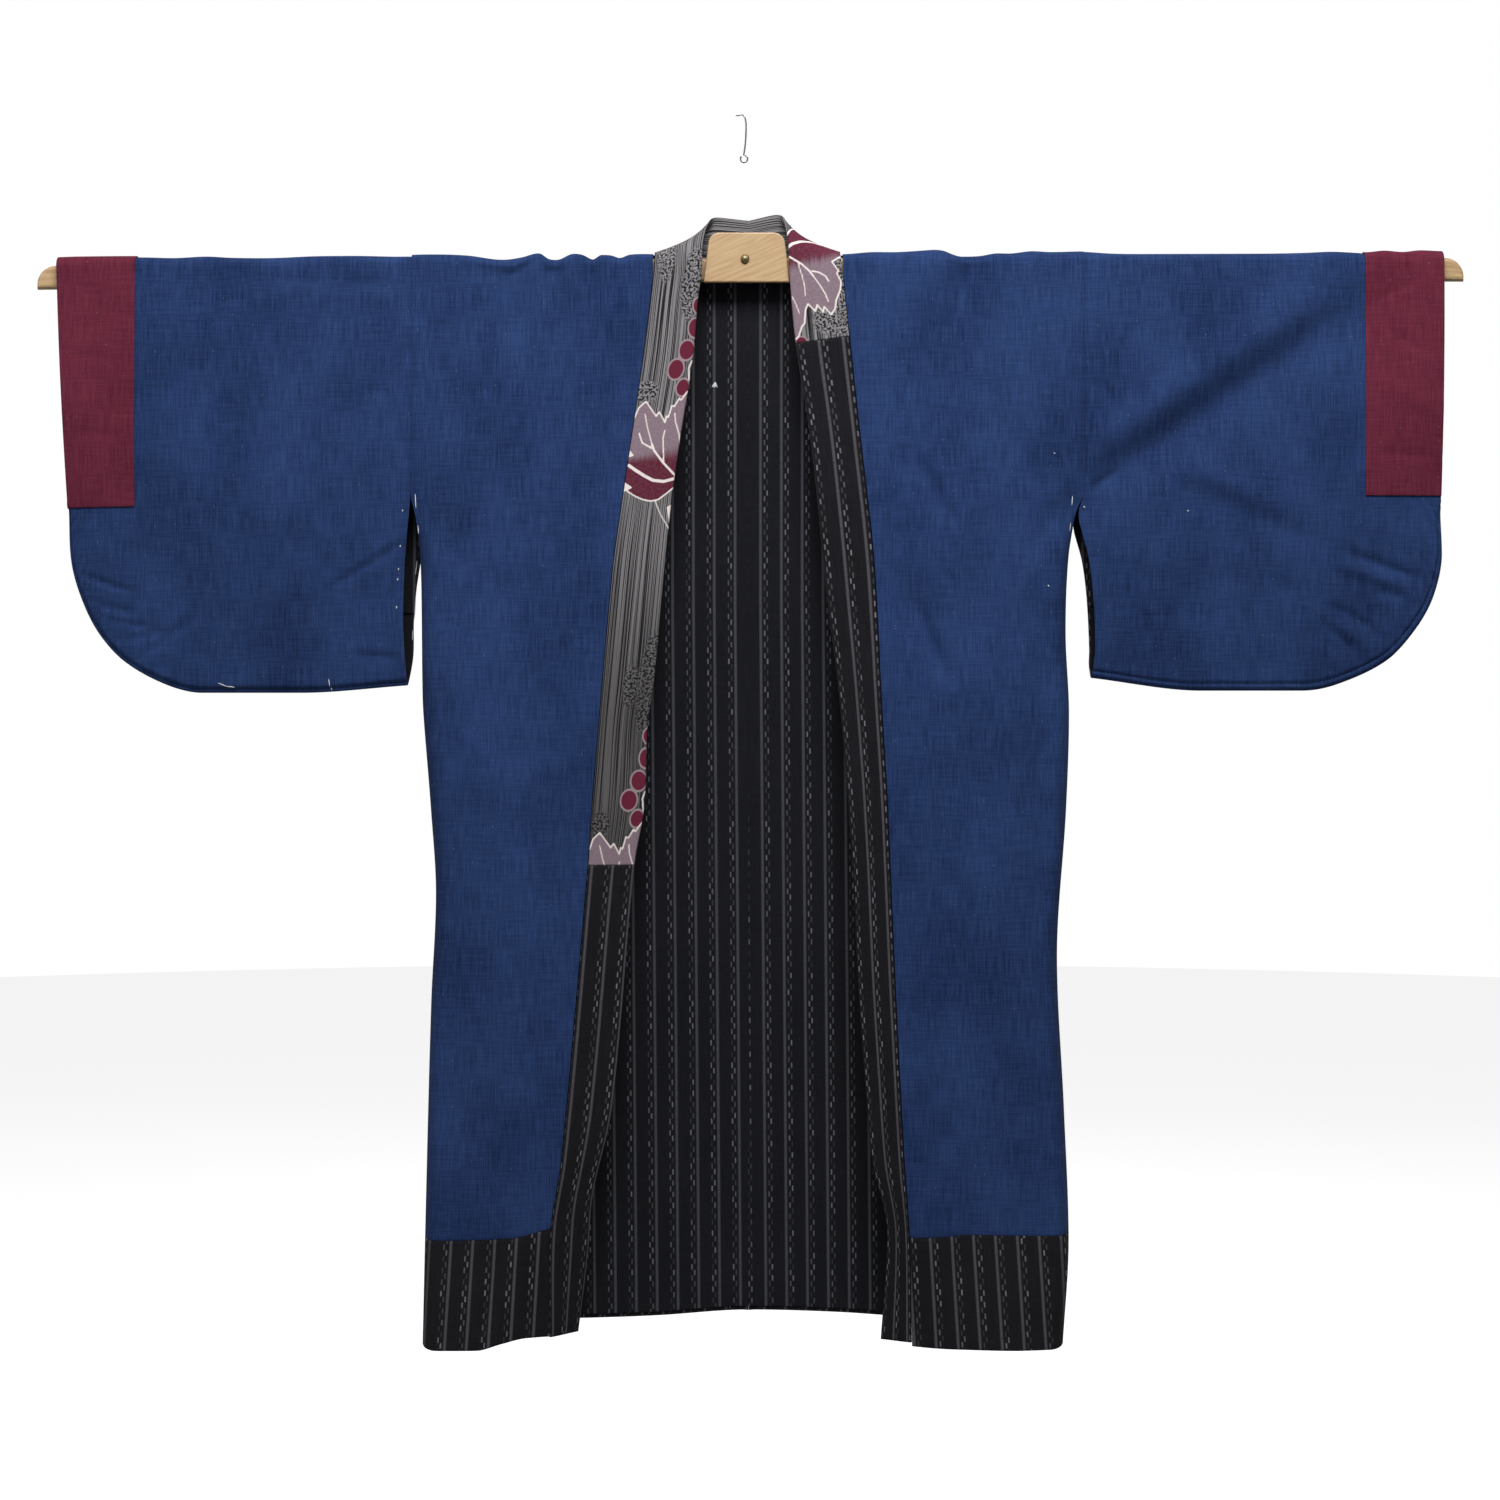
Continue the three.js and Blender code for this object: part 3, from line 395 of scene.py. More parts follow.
def backPoint(side, across, drop):
    across, drop = np.broadcast_arrays(np.asarray(across, float), np.asarray(drop, float))
    opened = 1 - belowArm(drop)
    width = np.abs(sideEdge[side](drop)) - halfGap
    edgeY = mix(-sideDepth(drop) + halfGap, armholeHalf(drop), opened)
    wave = backWave["rise"] * np.sin(across * backWave["across"] + drop / backWave["down"]) \
        * ease(backWave["starts"], backWave["full"], drop)

    def sheetY(place):
        return curveAt(place, body["backStops"], (mix(backDepth(drop), edgeY, opened),
                                                  backDepth(drop) + wave,
                                                  backDepth(drop) + body["backMiddleDepth"]))

    x, y = panelPoint(side, across, drop, width, edgeY, sheetY)
    calm = calmed(across)
    up, out = lifted("body", x, drop)
    middle = seams["valley"] * bell(x, seams["valleyWidth"]) * ease(*seams["middleStarts"], drop)
    y = y + foldHeight(f"back_{side}", x, -drop) * calm + out * calm - sideValley(x, side, drop) - middle
    return np.stack([x, y * wrapRise(drop), up - drop], axis=-1)


def puckerHeight(along, toSeam):
    # small gathers round the sleeve's rounded corner
    quick, sway, swell = seams["puckerBeats"]
    around = along * seams["puckerTurns"]
    height = np.sin(around * quick + seams["puckerSway"] * np.sin(around * sway)) \
        * (seams["puckerEven"] + (1 - seams["puckerEven"]) * np.sin(around * swell))
    height = height * seams["pucker"] * np.exp(-toSeam / seams["puckerReach"])
    return height * ease(*seams["puckerAlong"], along) * ease(0, seams["puckerCalm"], toSeam)


def sleevePoint(side, along, drop, share, face):
    # along runs from the body at 0 to the cuff at 1; face is -1 in front and +1 behind
    seamX, seamZ = sleeveSeam[side](along)
    topZ = sleeveCut["topZ"][side] * along
    cuffAlong, cuffX = sleeveCut["cuffAlong"], sleeveCut["cuffX"][side]
    endX = mix(sleeveCut["topX"][side], sleeveSeam[side](1.0)[0], drop / sleeveCut["cuffDrop"][side])
    upperX = np.where(along < cuffAlong, mix(innerSleeveEdge[side](drop), cuffX, along / cuffAlong),
                      mix(cuffX, endX, (along - cuffAlong) / (1 - cuffAlong)))
    z = mix(topZ - drop, seamZ, share)
    straight = mix(innerSleeveEdge[side](drop), sleeveSeam[side](0.0)[0], share)
    nearBody = np.clip(1 - along / sleeveCut["innerEdgeShare"], 0, 1)
    x = mix(upperX, seamX, share) + (innerSleeveEdge[side](-z) - straight) * nearBody
    height = topZ - seamZ
    down = (topZ - z) / height
    up, out = lifted(f"sleeve_{side}", x, topZ - z)
    calm = calmed(down) * ease(0, sleeveCut["calmShare"], along)
    toSeam = np.maximum(height - (topZ - z), 0)
    groove = seams["hemGroove"] * bell(toSeam - seams["hemGrooveUp"][side], seams["hemGrooveWidth"])
    name = f"sleeve_{side}" if face < 0 else f"sleeveBack_{side}"
    outward = foldHeight(name, x, z) * calm + out * calm + puckerHeight(along, toSeam) - groove * (face < 0)
    outward = outward - sideValley(x, side, -z) * (along < sleeveCut["valleyShare"])
    half = np.maximum(sleeveHalf(down, height) * wrapRise(topZ - z) + outward * wrapRise(topZ - z), 0)
    if face > 0:
        x = x - sides[side] * backReach[side](-z) * nearBody
    return np.stack([x, face * half, z + up], axis=-1)


def collarPoint(side, way, across):
    way = way + joinSlant[side] * (across - 0.5) * bell(way - collarJoin[side], joinSlant["fade"])
    seam = np.stack(collarSeam[side](way), axis=-1)
    fold = np.stack(collarFold[side](way), axis=-1)
    shift = wall["collarGap"] / np.linalg.norm(fold - seam, axis=-1)
    return mix(seam, fold, mix(shift, 1, across)[..., None])


def gridNormals(points):
    # unit normals of a grid of points, rows down and columns across
    normal = np.cross(np.gradient(points, axis=1), -np.gradient(points, axis=0))
    return normal / np.maximum(np.linalg.norm(normal, axis=-1, keepdims=True), 1e-9)


def moved(points, distance):
    return points + gridNormals(points) * distance


def meshObject(name, made, materials):
    mesh = bpy.data.meshes.new(name)
    made.to_mesh(mesh)
    made.free()
    for material in materials:
        mesh.materials.append(material)
    return placeObject(name, mesh)


edgeRound = {"width": 0.3, "segments": 2, "sharperThan": 50}


def clothSheet(name, points, cloth, thickness, materials, weld=False, capped=False, marks=None):
    # a grid of points becomes a wall of cloth whose outside faces the grid's normals, or a closed
    # form where it has no thickness; marks are grids of numbers that its material reads
    rows, columns = points.shape[:2]
    shell = bmesh.new()
    bmesh.ops.create_grid(shell, x_segments=columns - 1, y_segments=rows - 1, size=0.5)
    clothUv = shell.loops.layers.uv.new("cloth")
    places = toFrame(points)
    marks = marks or {}
    layers = {mark: shell.verts.layers.float.new(mark) for mark in marks}
    spots = {}
    for vert in shell.verts:
        spot = (round((0.5 - vert.co.y) * (rows - 1)), round((vert.co.x + 0.5) * (columns - 1)))
        spots[vert] = spot
        vert.co = places[spot]
        for mark, layer in layers.items():
            vert[layer] = marks[mark][spot]
    for face in shell.faces:
        face.smooth = True
        for corner in face.loops:
            corner[clothUv].uv = cloth[spots[corner.vert]]
    if weld:
        bmesh.ops.remove_doubles(shell, verts=shell.verts, dist=1e-5)
    if capped:
        bmesh.ops.holes_fill(shell, edges=[rim for rim in shell.edges if rim.is_boundary], sides=0)
    sheet = meshObject(name, shell, materials)
    if thickness:
        thick = sheet.modifiers.new("thickness", "SOLIDIFY")
        thick.thickness = thickness * metres
        thick.offset = 0
        thick.use_even_offset = False
        thick.material_offset = len(materials) - 1
        rounded = sheet.modifiers.new("edge", "BEVEL")
        rounded.width = edgeRound["width"] * metres
        rounded.segments = edgeRound["segments"]
        rounded.limit_method = "ANGLE"
        rounded.angle_limit = math.radians(edgeRound["sharperThan"])
    return sheet


def handed(side, grid, behind=False):
    # turned round where needed, so that a grid's normals face the outside of the coat
    return grid if (side == "left") != behind else grid[:, ::-1]


def shares(count):
    # even steps from 0 to 1
    return np.linspace(0, 1, count)


def wrapPlaces(count):
    return body["foldOver"] * (1 - np.cos(np.linspace(0, np.pi / 2, count, endpoint=False)))


def flatCloth(points):
    return points[..., (0, 2)] * metres


def hemCloth(side, points):
    # a line of the stripes runs at its own place on each half; the dashes are on its outer side
    cloth = flatCloth(points)
    lean = hemLines["lean"] * (cloth[..., 1] - hemLines["leanFrom"]) * -sides[side]
    cloth[..., 0] = (cloth[..., 0] - hemLines[side] - lean) * -sides[side]
    return cloth


# Shader nodes
def setInputs(node, inputs):
    for key, value in inputs.items():
        if isinstance(value, Wire):
            node.id_data.links.new(value.socket, node.inputs[key])
        else:
            node.inputs[key].default_value = value


def addNode(tree, kind, inputs=None, output=0, **settings):
    node = tree.nodes.new(kind)
    for key, value in settings.items():
        setattr(node, key, value)
    setInputs(node, inputs or {})
    return Wire(node.outputs[output])


class Wire:
    # an output of a shader node, which adds up and multiplies as a number does
    def __init__(self, socket):
        self.socket = socket

    def __getitem__(self, output):
        return Wire(self.socket.node.outputs[output])

    def into(self, kind, inputs=None, output=0, **settings):
        # leads to the first input of a new node
        return addNode(self.socket.id_data, kind, {0: self, **(inputs or {})}, output, **settings)

    def maths(self, operation, other=0.0, clamp=False):
        return self.into("ShaderNodeMath", {1: other}, operation=operation, use_clamp=clamp)

    def __add__(self, other):
        return self.maths("ADD", other)

    def __sub__(self, other):
        return self.maths("SUBTRACT", other)

    def __mul__(self, other):
        if isinstance(other, tuple):
            return self.into("ShaderNodeVectorMath", {1: other}, operation="MULTIPLY")
        return self.maths("MULTIPLY", other)

    def __abs__(self):
        return self.maths("ABSOLUTE")

    def step(self, start, end, low=0.0, high=1.0):
        ends = {"From Min": start, "From Max": end, "To Min": low, "To Max": high}
        return self.into("ShaderNodeMapRange", ends, interpolation_type="SMOOTHSTEP")

    def blend(self, a, b):
        return self.into("ShaderNodeMix", {6: a, 7: b}, 2, data_type="RGBA")

    def split(self):
        return self.into("ShaderNodeSeparateXYZ")

    def noise(self, turns, detail=2.0, roughness=0.5):
        # turns of the pattern in a metre, along x, y and z
        inputs = {"Scale": 1.0, "Detail": detail, "Roughness": roughness}
        return (self * turns).into("ShaderNodeTexNoise", inputs)


def bumped(height, strength):
    inputs = {"Height": height, "Strength": strength, "Distance": 0.0002}
    return addNode(height.socket.id_data, "ShaderNodeBump", inputs)


def rgb(red, green, blue):
    # a screen colour out of 255 as the linear colour that nodes use
    parts = [value / 255 for value in (red, green, blue)]
    return tuple(s / 12.92 if s <= 0.04045 else ((s + 0.055) / 1.055) ** 2.4 for s in parts) + (1.0,)


def newGroup(name, inputs, outputs):
    kinds = {"color": "NodeSocketColor", "value": "NodeSocketFloat", "vector": "NodeSocketVector"}
    group = bpy.data.node_groups.new(name, "ShaderNodeTree")
    for label, kind, default in [("Place", "vector", (0, 0, 0))] + inputs:
        socket = group.interface.new_socket(name=label, in_out="INPUT", socket_type=kinds[kind])
        socket.default_value = default
    for label, kind in outputs:
        group.interface.new_socket(name=label, in_out="OUTPUT", socket_type=kinds[kind])
    return Wire(group.nodes.new("NodeGroupInput").outputs[0]), group.nodes.new("NodeGroupOutput")


surfaceOutputs = [("Color", "color"), ("Height", "value"), ("Roughness", "value")]

weave = {"warp": (900, 34, 1), "weft": (30, 820, 1), "wash": (11, 7, 1), "fleck": (110, 60, 1),
         "thread": (9000, 8200, 1), "warpShare": 0.62, "fleckColor": (150, 162, 178)}


def makeCottonGroup():
    # plain woven cotton: threads, slubs, washed-out patches and pale fibre flecks; place is in metres
    given, out = newGroup("wovenCotton", [
        ("Deep", "color", (0, 0, 0, 1)), ("Pale", "color", (1, 1, 1, 1)), ("Slubs", "value", 0.5),
        ("Wash", "value", 0.3), ("Flecks", "value", 0.3)], surfaceOutputs)
    place = given["Place"]
    slubs = place.noise(weave["warp"], 3.0, 0.65) * weave["warpShare"] \
        + place.noise(weave["weft"], 3.0, 0.65) * (1 - weave["warpShare"])
    wash = place.noise(weave["wash"], 4.0, 0.6).step(0.3, 0.7) * given["Wash"]
    share = (slubs.step(0.36, 0.64) * given["Slubs"]).maths("ADD", wash, clamp=True)
    cells = (place * weave["fleck"]).into("ShaderNodeTexVoronoi", {"Scale": 1.0, "Randomness": 1.0},
                                          voronoi_dimensions="2D")
    luck = cells["Color"].into("ShaderNodeSeparateColor").step(0.86, 0.98)
    fleck = cells["Distance"].step(0.075, 0.03) * luck * given["Flecks"]
    ridges = (place * weave["thread"]).split()
    setInputs(out, {
        "Color": fleck.blend(share.blend(given["Deep"], given["Pale"]), rgb(*weave["fleckColor"])),
        "Height": ridges[0].maths("SINE") * ridges[1].maths("SINE") * 0.35 + slubs,
        "Roughness": slubs.step(0.3, 0.7, 0.95, 0.82)})
    return out.id_data


# Sizes in millimetres; each pair is where a mark has faded out and where it is full
stripeMarks = {"line": (1.9, 0.5), "dash": (0.95, 0.35), "dashColumns": ((3.8, 0.0), (6.3, 0.5)),
               "dashBeat": 10.6, "rung": (0.27, 0.19), "fuzz": (1400, 260, 1)}


def makeStripeGroup():
    # soft grey lines with two staggered columns of woven dashes beside each; place is in metres
    given, out = newGroup("stripedWeave", [("Pitch", "value", 0.0197), ("Dash Side", "value", 1.0)],
                          [("Line", "value"), ("Dash", "value")])
    place = given["Place"].split()
    turns = place[0].maths("DIVIDE", given["Pitch"])
    across = ((turns + 0.5).maths("FRACT") - 0.5) * given["Pitch"] * 1000.0
    fuzz = given["Place"].noise(stripeMarks["fuzz"], 2.0, 0.6)
    dashes = []
    for column, shift in stripeMarks["dashColumns"]:
        near = abs(across * given["Dash Side"] - column).step(*stripeMarks["dash"])
        beat = place[1] * (1000 / stripeMarks["dashBeat"]) + shift
        rung = abs(beat.maths("FRACT") - 0.5).step(*stripeMarks["rung"])
        cell = turns.maths("FLOOR").into("ShaderNodeCombineXYZ", {1: beat.maths("FLOOR"), 2: column})
        luck = cell.into("ShaderNodeTexWhiteNoise", output="Value", noise_dimensions="3D")
        dashes.append(near * rung * (luck * luck * 0.8 + 0.12))
    setInputs(out, {"Line": abs(across).step(*stripeMarks["line"]) * fuzz.step(0.2, 0.6, 0.55, 1.0),
                    "Dash": dashes[0].maths("ADD", dashes[1], clamp=True)})
    return out.id_data


grain = {"bend": (9, 26, 26), "bendWidth": (0, 6, 6), "rings": (14, 420, 420), "pores": (90, 2400, 2400)}


def makeWoodGroup():
    # grain along X of the place given, with pores and a soft sheen; place is in metres
    given, out = newGroup("hangerGrain", [
        ("Pale", "color", (1, 1, 1, 1)), ("Dark", "color", (0, 0, 0, 1)), ("Contrast", "value", 0.6)],
        surfaceOutputs)
    place = given["Place"]
    bend = place.noise(grain["bend"])
    bend = bend.into("ShaderNodeCombineXYZ", {1: bend, 2: bend}) * grain["bendWidth"]
    rings = (place * grain["rings"]).into("ShaderNodeVectorMath", {1: bend}, operation="ADD")
    rings = rings.noise((1, 1, 1), 3.0, 0.55).step(0.35, 0.68) * given["Contrast"]
    pores = place.noise(grain["pores"], 2.0, 0.7).step(0.62, 0.72, 0.0, 0.3)
    share = rings.maths("ADD", pores, clamp=True)
    setInputs(out, {"Color": share.blend(given["Pale"], given["Dark"]), "Height": share * -1.0 + 1.0,
                    "Roughness": share.step(0.0, 1.0, 0.42, 0.6)})
    return out.id_data


groups = {"cotton": makeCottonGroup(), "stripes": makeStripeGroup(), "wood": makeWoodGroup()}
print("shader groups made")


def startMaterial(name):
    material = bpy.data.materials.new(name)
    material.use_nodes = True
    return material, material.node_tree, material.node_tree.nodes["Principled BSDF"]


def clothMap(tree):
    return addNode(tree, "ShaderNodeUVMap", uv_map="cloth")


def objectPlace(tree):
    return addNode(tree, "ShaderNodeTexCoord", output="Object")


def useGroup(place, group, inputs):
    return place.into("ShaderNodeGroup", inputs, node_tree=groups[group])


def useCotton(place, deep, pale, slubs=0.5, wash=0.3, flecks=0.0):
    inputs = {"Deep": rgb(*deep), "Pale": rgb(*pale), "Slubs": slubs, "Wash": wash, "Flecks": flecks}
    return useGroup(place, "cotton", inputs)


def finishCloth(shader, color, height, roughness):
    setInputs(shader, {
        "Base Color": color, "Roughness": roughness, "Normal": bumped(height, 0.6),
        "Specular IOR Level": 0.08, "Sheen Weight": 0.015, "Sheen Roughness": 0.5})


def plainCotton(name, deep, pale, slubs, wash, flecks):
    material, tree, shader = startMaterial(name)
    cotton = useCotton(clothMap(tree), deep, pale, slubs, wash, flecks)
    finishCloth(shader, cotton["Color"], cotton["Height"], cotton["Roughness"])
    return material


def stripedCotton(name, deep, pale, line, dash, pitch, dashSide):
    material, tree, shader = startMaterial(name)
    place = clothMap(tree)
    cotton = useCotton(place, deep, pale)
    stripes = useGroup(place, "stripes", {"Pitch": pitch, "Dash Side": dashSide})
    color = stripes["Dash"].blend(stripes["Line"].blend(cotton["Color"], rgb(*line)), rgb(*dash))
    finishCloth(shader, color, cotton["Height"] + stripes["Dash"] * 1.2, cotton["Roughness"])
    return material


def threadCotton(name, deep, pale):
    material, tree, shader = startMaterial(name)
    twist = objectPlace(tree).noise((3000, 3000, 1500))
    setInputs(shader, {"Base Color": twist.blend(rgb(*deep), rgb(*pale)), "Roughness": 0.8})
    return material


printInks = {
    "deep": (22, 22, 25), "pale": (36, 36, 40),  # the black ground between the streaks
    "streaks": ((90, 88, 91), (150, 146, 148)), "streaksBelow": ((58, 57, 58), (104, 101, 100)),
    "leaf": (126, 109, 118), "leafMaroon": (86, 29, 46), "leafGrain": (92, 72, 82),
    "berryRim": (138, 122, 128), "berry": (92, 32, 50), "line": (212, 202, 199)}


def printedCotton(name):
    # irregular fine stripes along the band, mottled in places, with the leaves and berries over them
    material, tree, shader = startMaterial(name)
    place = clothMap(tree)

    def mark(label):
        return addNode(tree, "ShaderNodeAttribute", output="Fac", attribute_name=label)

    def ink(part):
        return rgb(*printInks[part])

    cotton = useCotton(place, printInks["deep"], printInks["pale"], wash=0.2)
    streaks = place.noise((1080, 3, 1), 2.0, 0.6)
    grains = place.noise((470, 430, 1), 2.0, 0.6)
    ground = mark("mottled").blend(streaks.step(0.45, 0.54), grains.step(0.475, 0.515))
    below = place.split()[1].step(0.3, 0.55)
    tints = [below.blend(rgb(*upper), rgb(*lower))
             for upper, lower in zip(printInks["streaks"], printInks["streaksBelow"])]
    color = ground.blend(cotton["Color"], place.noise((300, 5, 1)).blend(*tints))
    maroonShare = mark("maroonShare") + (streaks - 0.5) * 0.9
    leaf = maroonShare.step(0.15, 0.85).blend(ink("leaf"), ink("leafMaroon"))
    leaf = grains.step(0.4, 0.62, 0.0, 0.3).blend(leaf, ink("leafGrain"))
    color = mark("leaf").step(-0.2, 0.2).blend(color, leaf)
    color = mark("berry").step(-1.7, -1.2).blend(color, ink("berryRim"))
    color = mark("berry").step(-0.2, 0.2).blend(color, ink("berry"))
    line = mark("paleLine").step(-0.3, 0.25) * streaks.step(0.3, 0.5, 0.8, 1.0)
    finishCloth(shader, line.blend(color, ink("line")), cotton["Height"], cotton["Roughness"])
    return material


def hangerWood(name, turn, contrast, pale=(177, 150, 112), dark=(146, 112, 74)):
    material, tree, shader = startMaterial(name)
    place = objectPlace(tree).into("ShaderNodeMapping", {"Rotation": (0, math.radians(turn), 0)})
    wood = useGroup(place, "wood", {"Pale": rgb(*pale), "Dark": rgb(*dark), "Contrast": contrast})
    setInputs(shader, {"Base Color": wood["Color"], "Roughness": wood["Roughness"],
                       "Normal": bumped(wood["Height"], 0.3)})
    return material


def wornMetal(name, bright, dull, roughness=0.3):
    material, tree, shader = startMaterial(name)
    worn = objectPlace(tree).noise((900, 900, 900), 4.0, 0.6).step(0.35, 0.65)
    setInputs(shader, {"Base Color": worn.blend(rgb(*bright), rgb(*dull)), "Metallic": 1.0,
                       "Roughness": worn.step(0.0, 1.0, roughness, roughness + 0.2)})
    return material


def clearNylon(name):
    material, tree, shader = startMaterial(name)
    cloudy = objectPlace(tree).noise((300, 300, 300)).step(0.3, 0.7, 0.12, 0.22)
    setInputs(shader, {"Base Color": (0.95, 0.97, 0.98, 1), "Transmission Weight": 1.0, "IOR": 1.2,
                       "Alpha": 0.12, "Roughness": cloudy})
    return material


indigo = plainCotton("indigo_cotton", (16, 31, 63), (42, 63, 107), slubs=0.6, wash=0.4, flecks=0.12)
maroon = plainCotton("maroon_cotton", (72, 21, 37), (109, 44, 63), slubs=0.5, wash=0.3, flecks=0.12)
striped = stripedCotton("striped_cotton", (18, 18, 22), (30, 29, 33), line=(74, 72, 77),
                        dash=(116, 114, 120), pitch=0.02, dashSide=-1.0)
lining = stripedCotton("lining_cotton", (17, 18, 22), (27, 27, 32), line=(64, 65, 71),
                       dash=(100, 101, 107), pitch=0.0197, dashSide=1.0)
leafCotton = printedCotton("leaf_cotton")
plainThread = threadCotton("undyed_thread", (150, 156, 168), (226, 226, 222))
plateWood = hangerWood("hanger_wood_plate", turn=24, contrast=0.6)
armWood = hangerWood("hanger_wood_arm", turn=0, contrast=0.7)
brass = wornMetal("bolt_brass", (150, 138, 104), (92, 82, 60))
steel = wornMetal("hook_steel", (150, 152, 150), (96, 98, 96))
nylon = clearNylon("clear_nylon")
print("materials made")

# Fineness of the cloth grids
frontColumns = 93
backColumns = 81
sleeveColumns = 128
cuffColumns = 40
frontRows = {"wrap": 7, "armhole": 56, "body": 146, "band": 28}
backRows = {"wrap": 7, "armhole": 44, "body": 110, "band": 18}
sleeveRows = {"wrap": 7, "upper": 62, "lower": 56, "closerBelow": 1.6}
sleeveStrip = {"along": 0.13, "columns": 16, "rowsBelow": 24}

# Each cloth's walls: thickness, and what shows outside and inside
cloths = {"indigo_cotton": (wall["cloth"], [indigo, lining]), "maroon_cotton": (wall["cuff"], [maroon]),
          "striped_cotton": (wall["cloth"], [striped, lining]), "lining_cotton": (wall["lining"], [lining])}

# For each sheet: the solid it replaces, its cloth, its flat size in metres and what it hangs on
sheets = {
    "frontPanel": ("front", "indigo_cotton", (0.24, 0.93), "hanger_arm"),
    "frontHem": ("hem_front", "striped_cotton", (0.15, 0.12), "frontPanel"),
    "backPanel": ("back", "indigo_cotton", (0.33, 0.92), "hanger_arm"),
    "backHem": ("hem_back", "striped_cotton", (0.33, 0.12), "backPanel"),
    "liningPanel": ("lining", "lining_cotton", (0.33, 1.02), "hanger_arm"),
    "sleeveCloth": ("sleeve", "indigo_cotton", (0.345, 0.84), "hanger_arm"),
    "cuffBand": ("cuff", "maroon_cotton", (0.09, 0.48), "sleeveCloth"),
    "sleeveLining": ("sleeve_lining", "lining_cotton", (0.05, 0.75), "hanger_arm"),
}


def bindSheet(piece, node):
    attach(piece, "root")
    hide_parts(node)


def makeSheet(kind, side, grid, cloth, weld=False):
    node, slot, flat, hangsOn = sheets[kind]
    thickness, materials = cloths[slot]
    sheet = clothSheet(f"{kind}_{side}", grid, cloth, thickness, materials, weld)
    bindSheet(sheet, f"{node}_{side}")


def armholeDrops(rows, across):
    drops = np.concatenate([wrapPlaces(rows["wrap"]),
                            np.linspace(body["foldOver"], body["underarm"], rows["armhole"])])
    return drops[:, None] + np.zeros_like(across)


def frontGrids(side):
    across = shares(frontColumns)
    border = bandDrop[side](frontPoint(side, across, nearDrops["band"])[:, 0])
    hem = hemDrop[side](frontPoint(side, across, nearDrops["hem"])[:, 0])
    low = mix(body["underarm"], border - halfGap, shares(frontRows["body"])[1:, None])
    panel = frontPoint(side, across, np.vstack([armholeDrops(frontRows, across), low]))
    panel[0, :, 1] = -halfGap
    band = mix(border + halfGap, hem, shares(frontRows["band"])[:, None])
    return panel, frontPoint(side, across, band)


def backGrid(side):
    across = shares(backColumns)
    top = neckCut(np.abs(backPoint(side, across, 0.0)[:, 0]))
    hem = backHemDrop(backPoint(side, across, nearDrops["backHem"])[:, 0])
    upper = mix(top, body["underarm"], armholeDrops(backRows, across) / body["underarm"])
    middle = mix(body["underarm"], hem - body["backBand"], shares(backRows["body"])[1:, None])
    band = hem - body["backBand"] * (1 - shares(backRows["band"])[1:, None])
    points = backPoint(side, across, np.vstack([upper, middle, band]))
    points[0, :, 1] = np.maximum(points[0, :, 1], halfGap)
    return points


def makeFront(side):
    panel, band = [handed(side, grid) for grid in frontGrids(side)]
    makeSheet("frontPanel", side, panel, flatCloth(panel))
    makeSheet("frontHem", side, band, hemCloth(side, band))


def makeBack(side):
    grid = handed(side, backGrid(side), behind=True)
    split = -backRows["band"]
    upper, band = grid[:split + 1].copy(), grid[split:].copy()
    upper[-1, :, 2] += halfGap
    band[0, :, 2] -= halfGap
    makeSheet("backPanel", side, upper, flatCloth(upper))
    makeSheet("backHem", side, band, hemCloth(side, band))
    inner = moved(grid, -liningInset)
    inner = inner[:, :-1] if side == "left" else inner[:, 1:]  # clear of the side seam
    inner[-1, :, 2] += liningFit["aboveHem"]
    inner[:, 0 if side == "left" else -1, 0] = 0  # the two halves meet in the middle
    cloth = flatCloth(inner)
    lean = liningFit["leanShare"] * np.maximum(liningFit["leanFrom"] - cloth[..., 1], 0)
    cloth[..., 0] = (cloth[..., 0] - lean) * sides[side] - liningFit["middleLine"][side]
    makeSheet("liningPanel", side, inner, cloth)


def sleevePlaces(side):
    cuffDrop = sleeveCut["cuffDrop"][side]
    upper = np.concatenate([wrapPlaces(sleeveRows["wrap"]),
                            np.linspace(body["foldOver"], cuffDrop, sleeveRows["upper"])])
    lower = 1 - (1 - shares(sleeveRows["lower"])[1:]) ** sleeveRows["closerBelow"]
    return (np.concatenate([upper, np.full_like(lower, cuffDrop)]),
            np.concatenate([np.zeros_like(upper), lower]))


def sleeveGrid(side, along, rowsBelow=None):
    # from the front's lowest row up over the fold and down the back; rowsBelow are those under the cuff
    drops, down = sleevePlaces(side)
    rows = len(drops) if rowsBelow is None else sleeveRows["wrap"] + sleeveRows["upper"] + rowsBelow
    along, drops, down = np.broadcast_arrays(along, drops[:rows, None], down[:rows, None])
    front, back = [sleevePoint(side, along, drops, down, face) for face in (-1, 1)]
    return np.vstack([front[::-1], back[1:]]), rows


def sleeveSheet(kind, side, along, rowsBelow=None, distance=0, weld=False):
    # the cloth runs on over the top fold, so the back's map goes on upwards
    grid, frontCount = sleeveGrid(side, along, rowsBelow)
    cloth = flatCloth(grid)
    cloth[frontCount:, :, 1] *= -1
    grid = handed(side, grid)
    if distance:
        grid = moved(grid, distance)
    makeSheet(kind, side, grid, handed(side, cloth), weld)


def makeSleeve(side):
    along = np.sort(np.append(shares(sleeveColumns), sleeveCut["cuffAlong"]))
    sleeveSheet("sleeveCloth", side, along, weld=True)
    sleeveSheet("cuffBand", side, np.linspace(sleeveCut["cuffAlong"], 1, cuffColumns), 0, cuffLift)
    strip = np.linspace(0, sleeveStrip["along"], sleeveStrip["columns"])
    sleeveSheet("sleeveLining", side, strip, sleeveStrip["rowsBelow"], -liningInset)


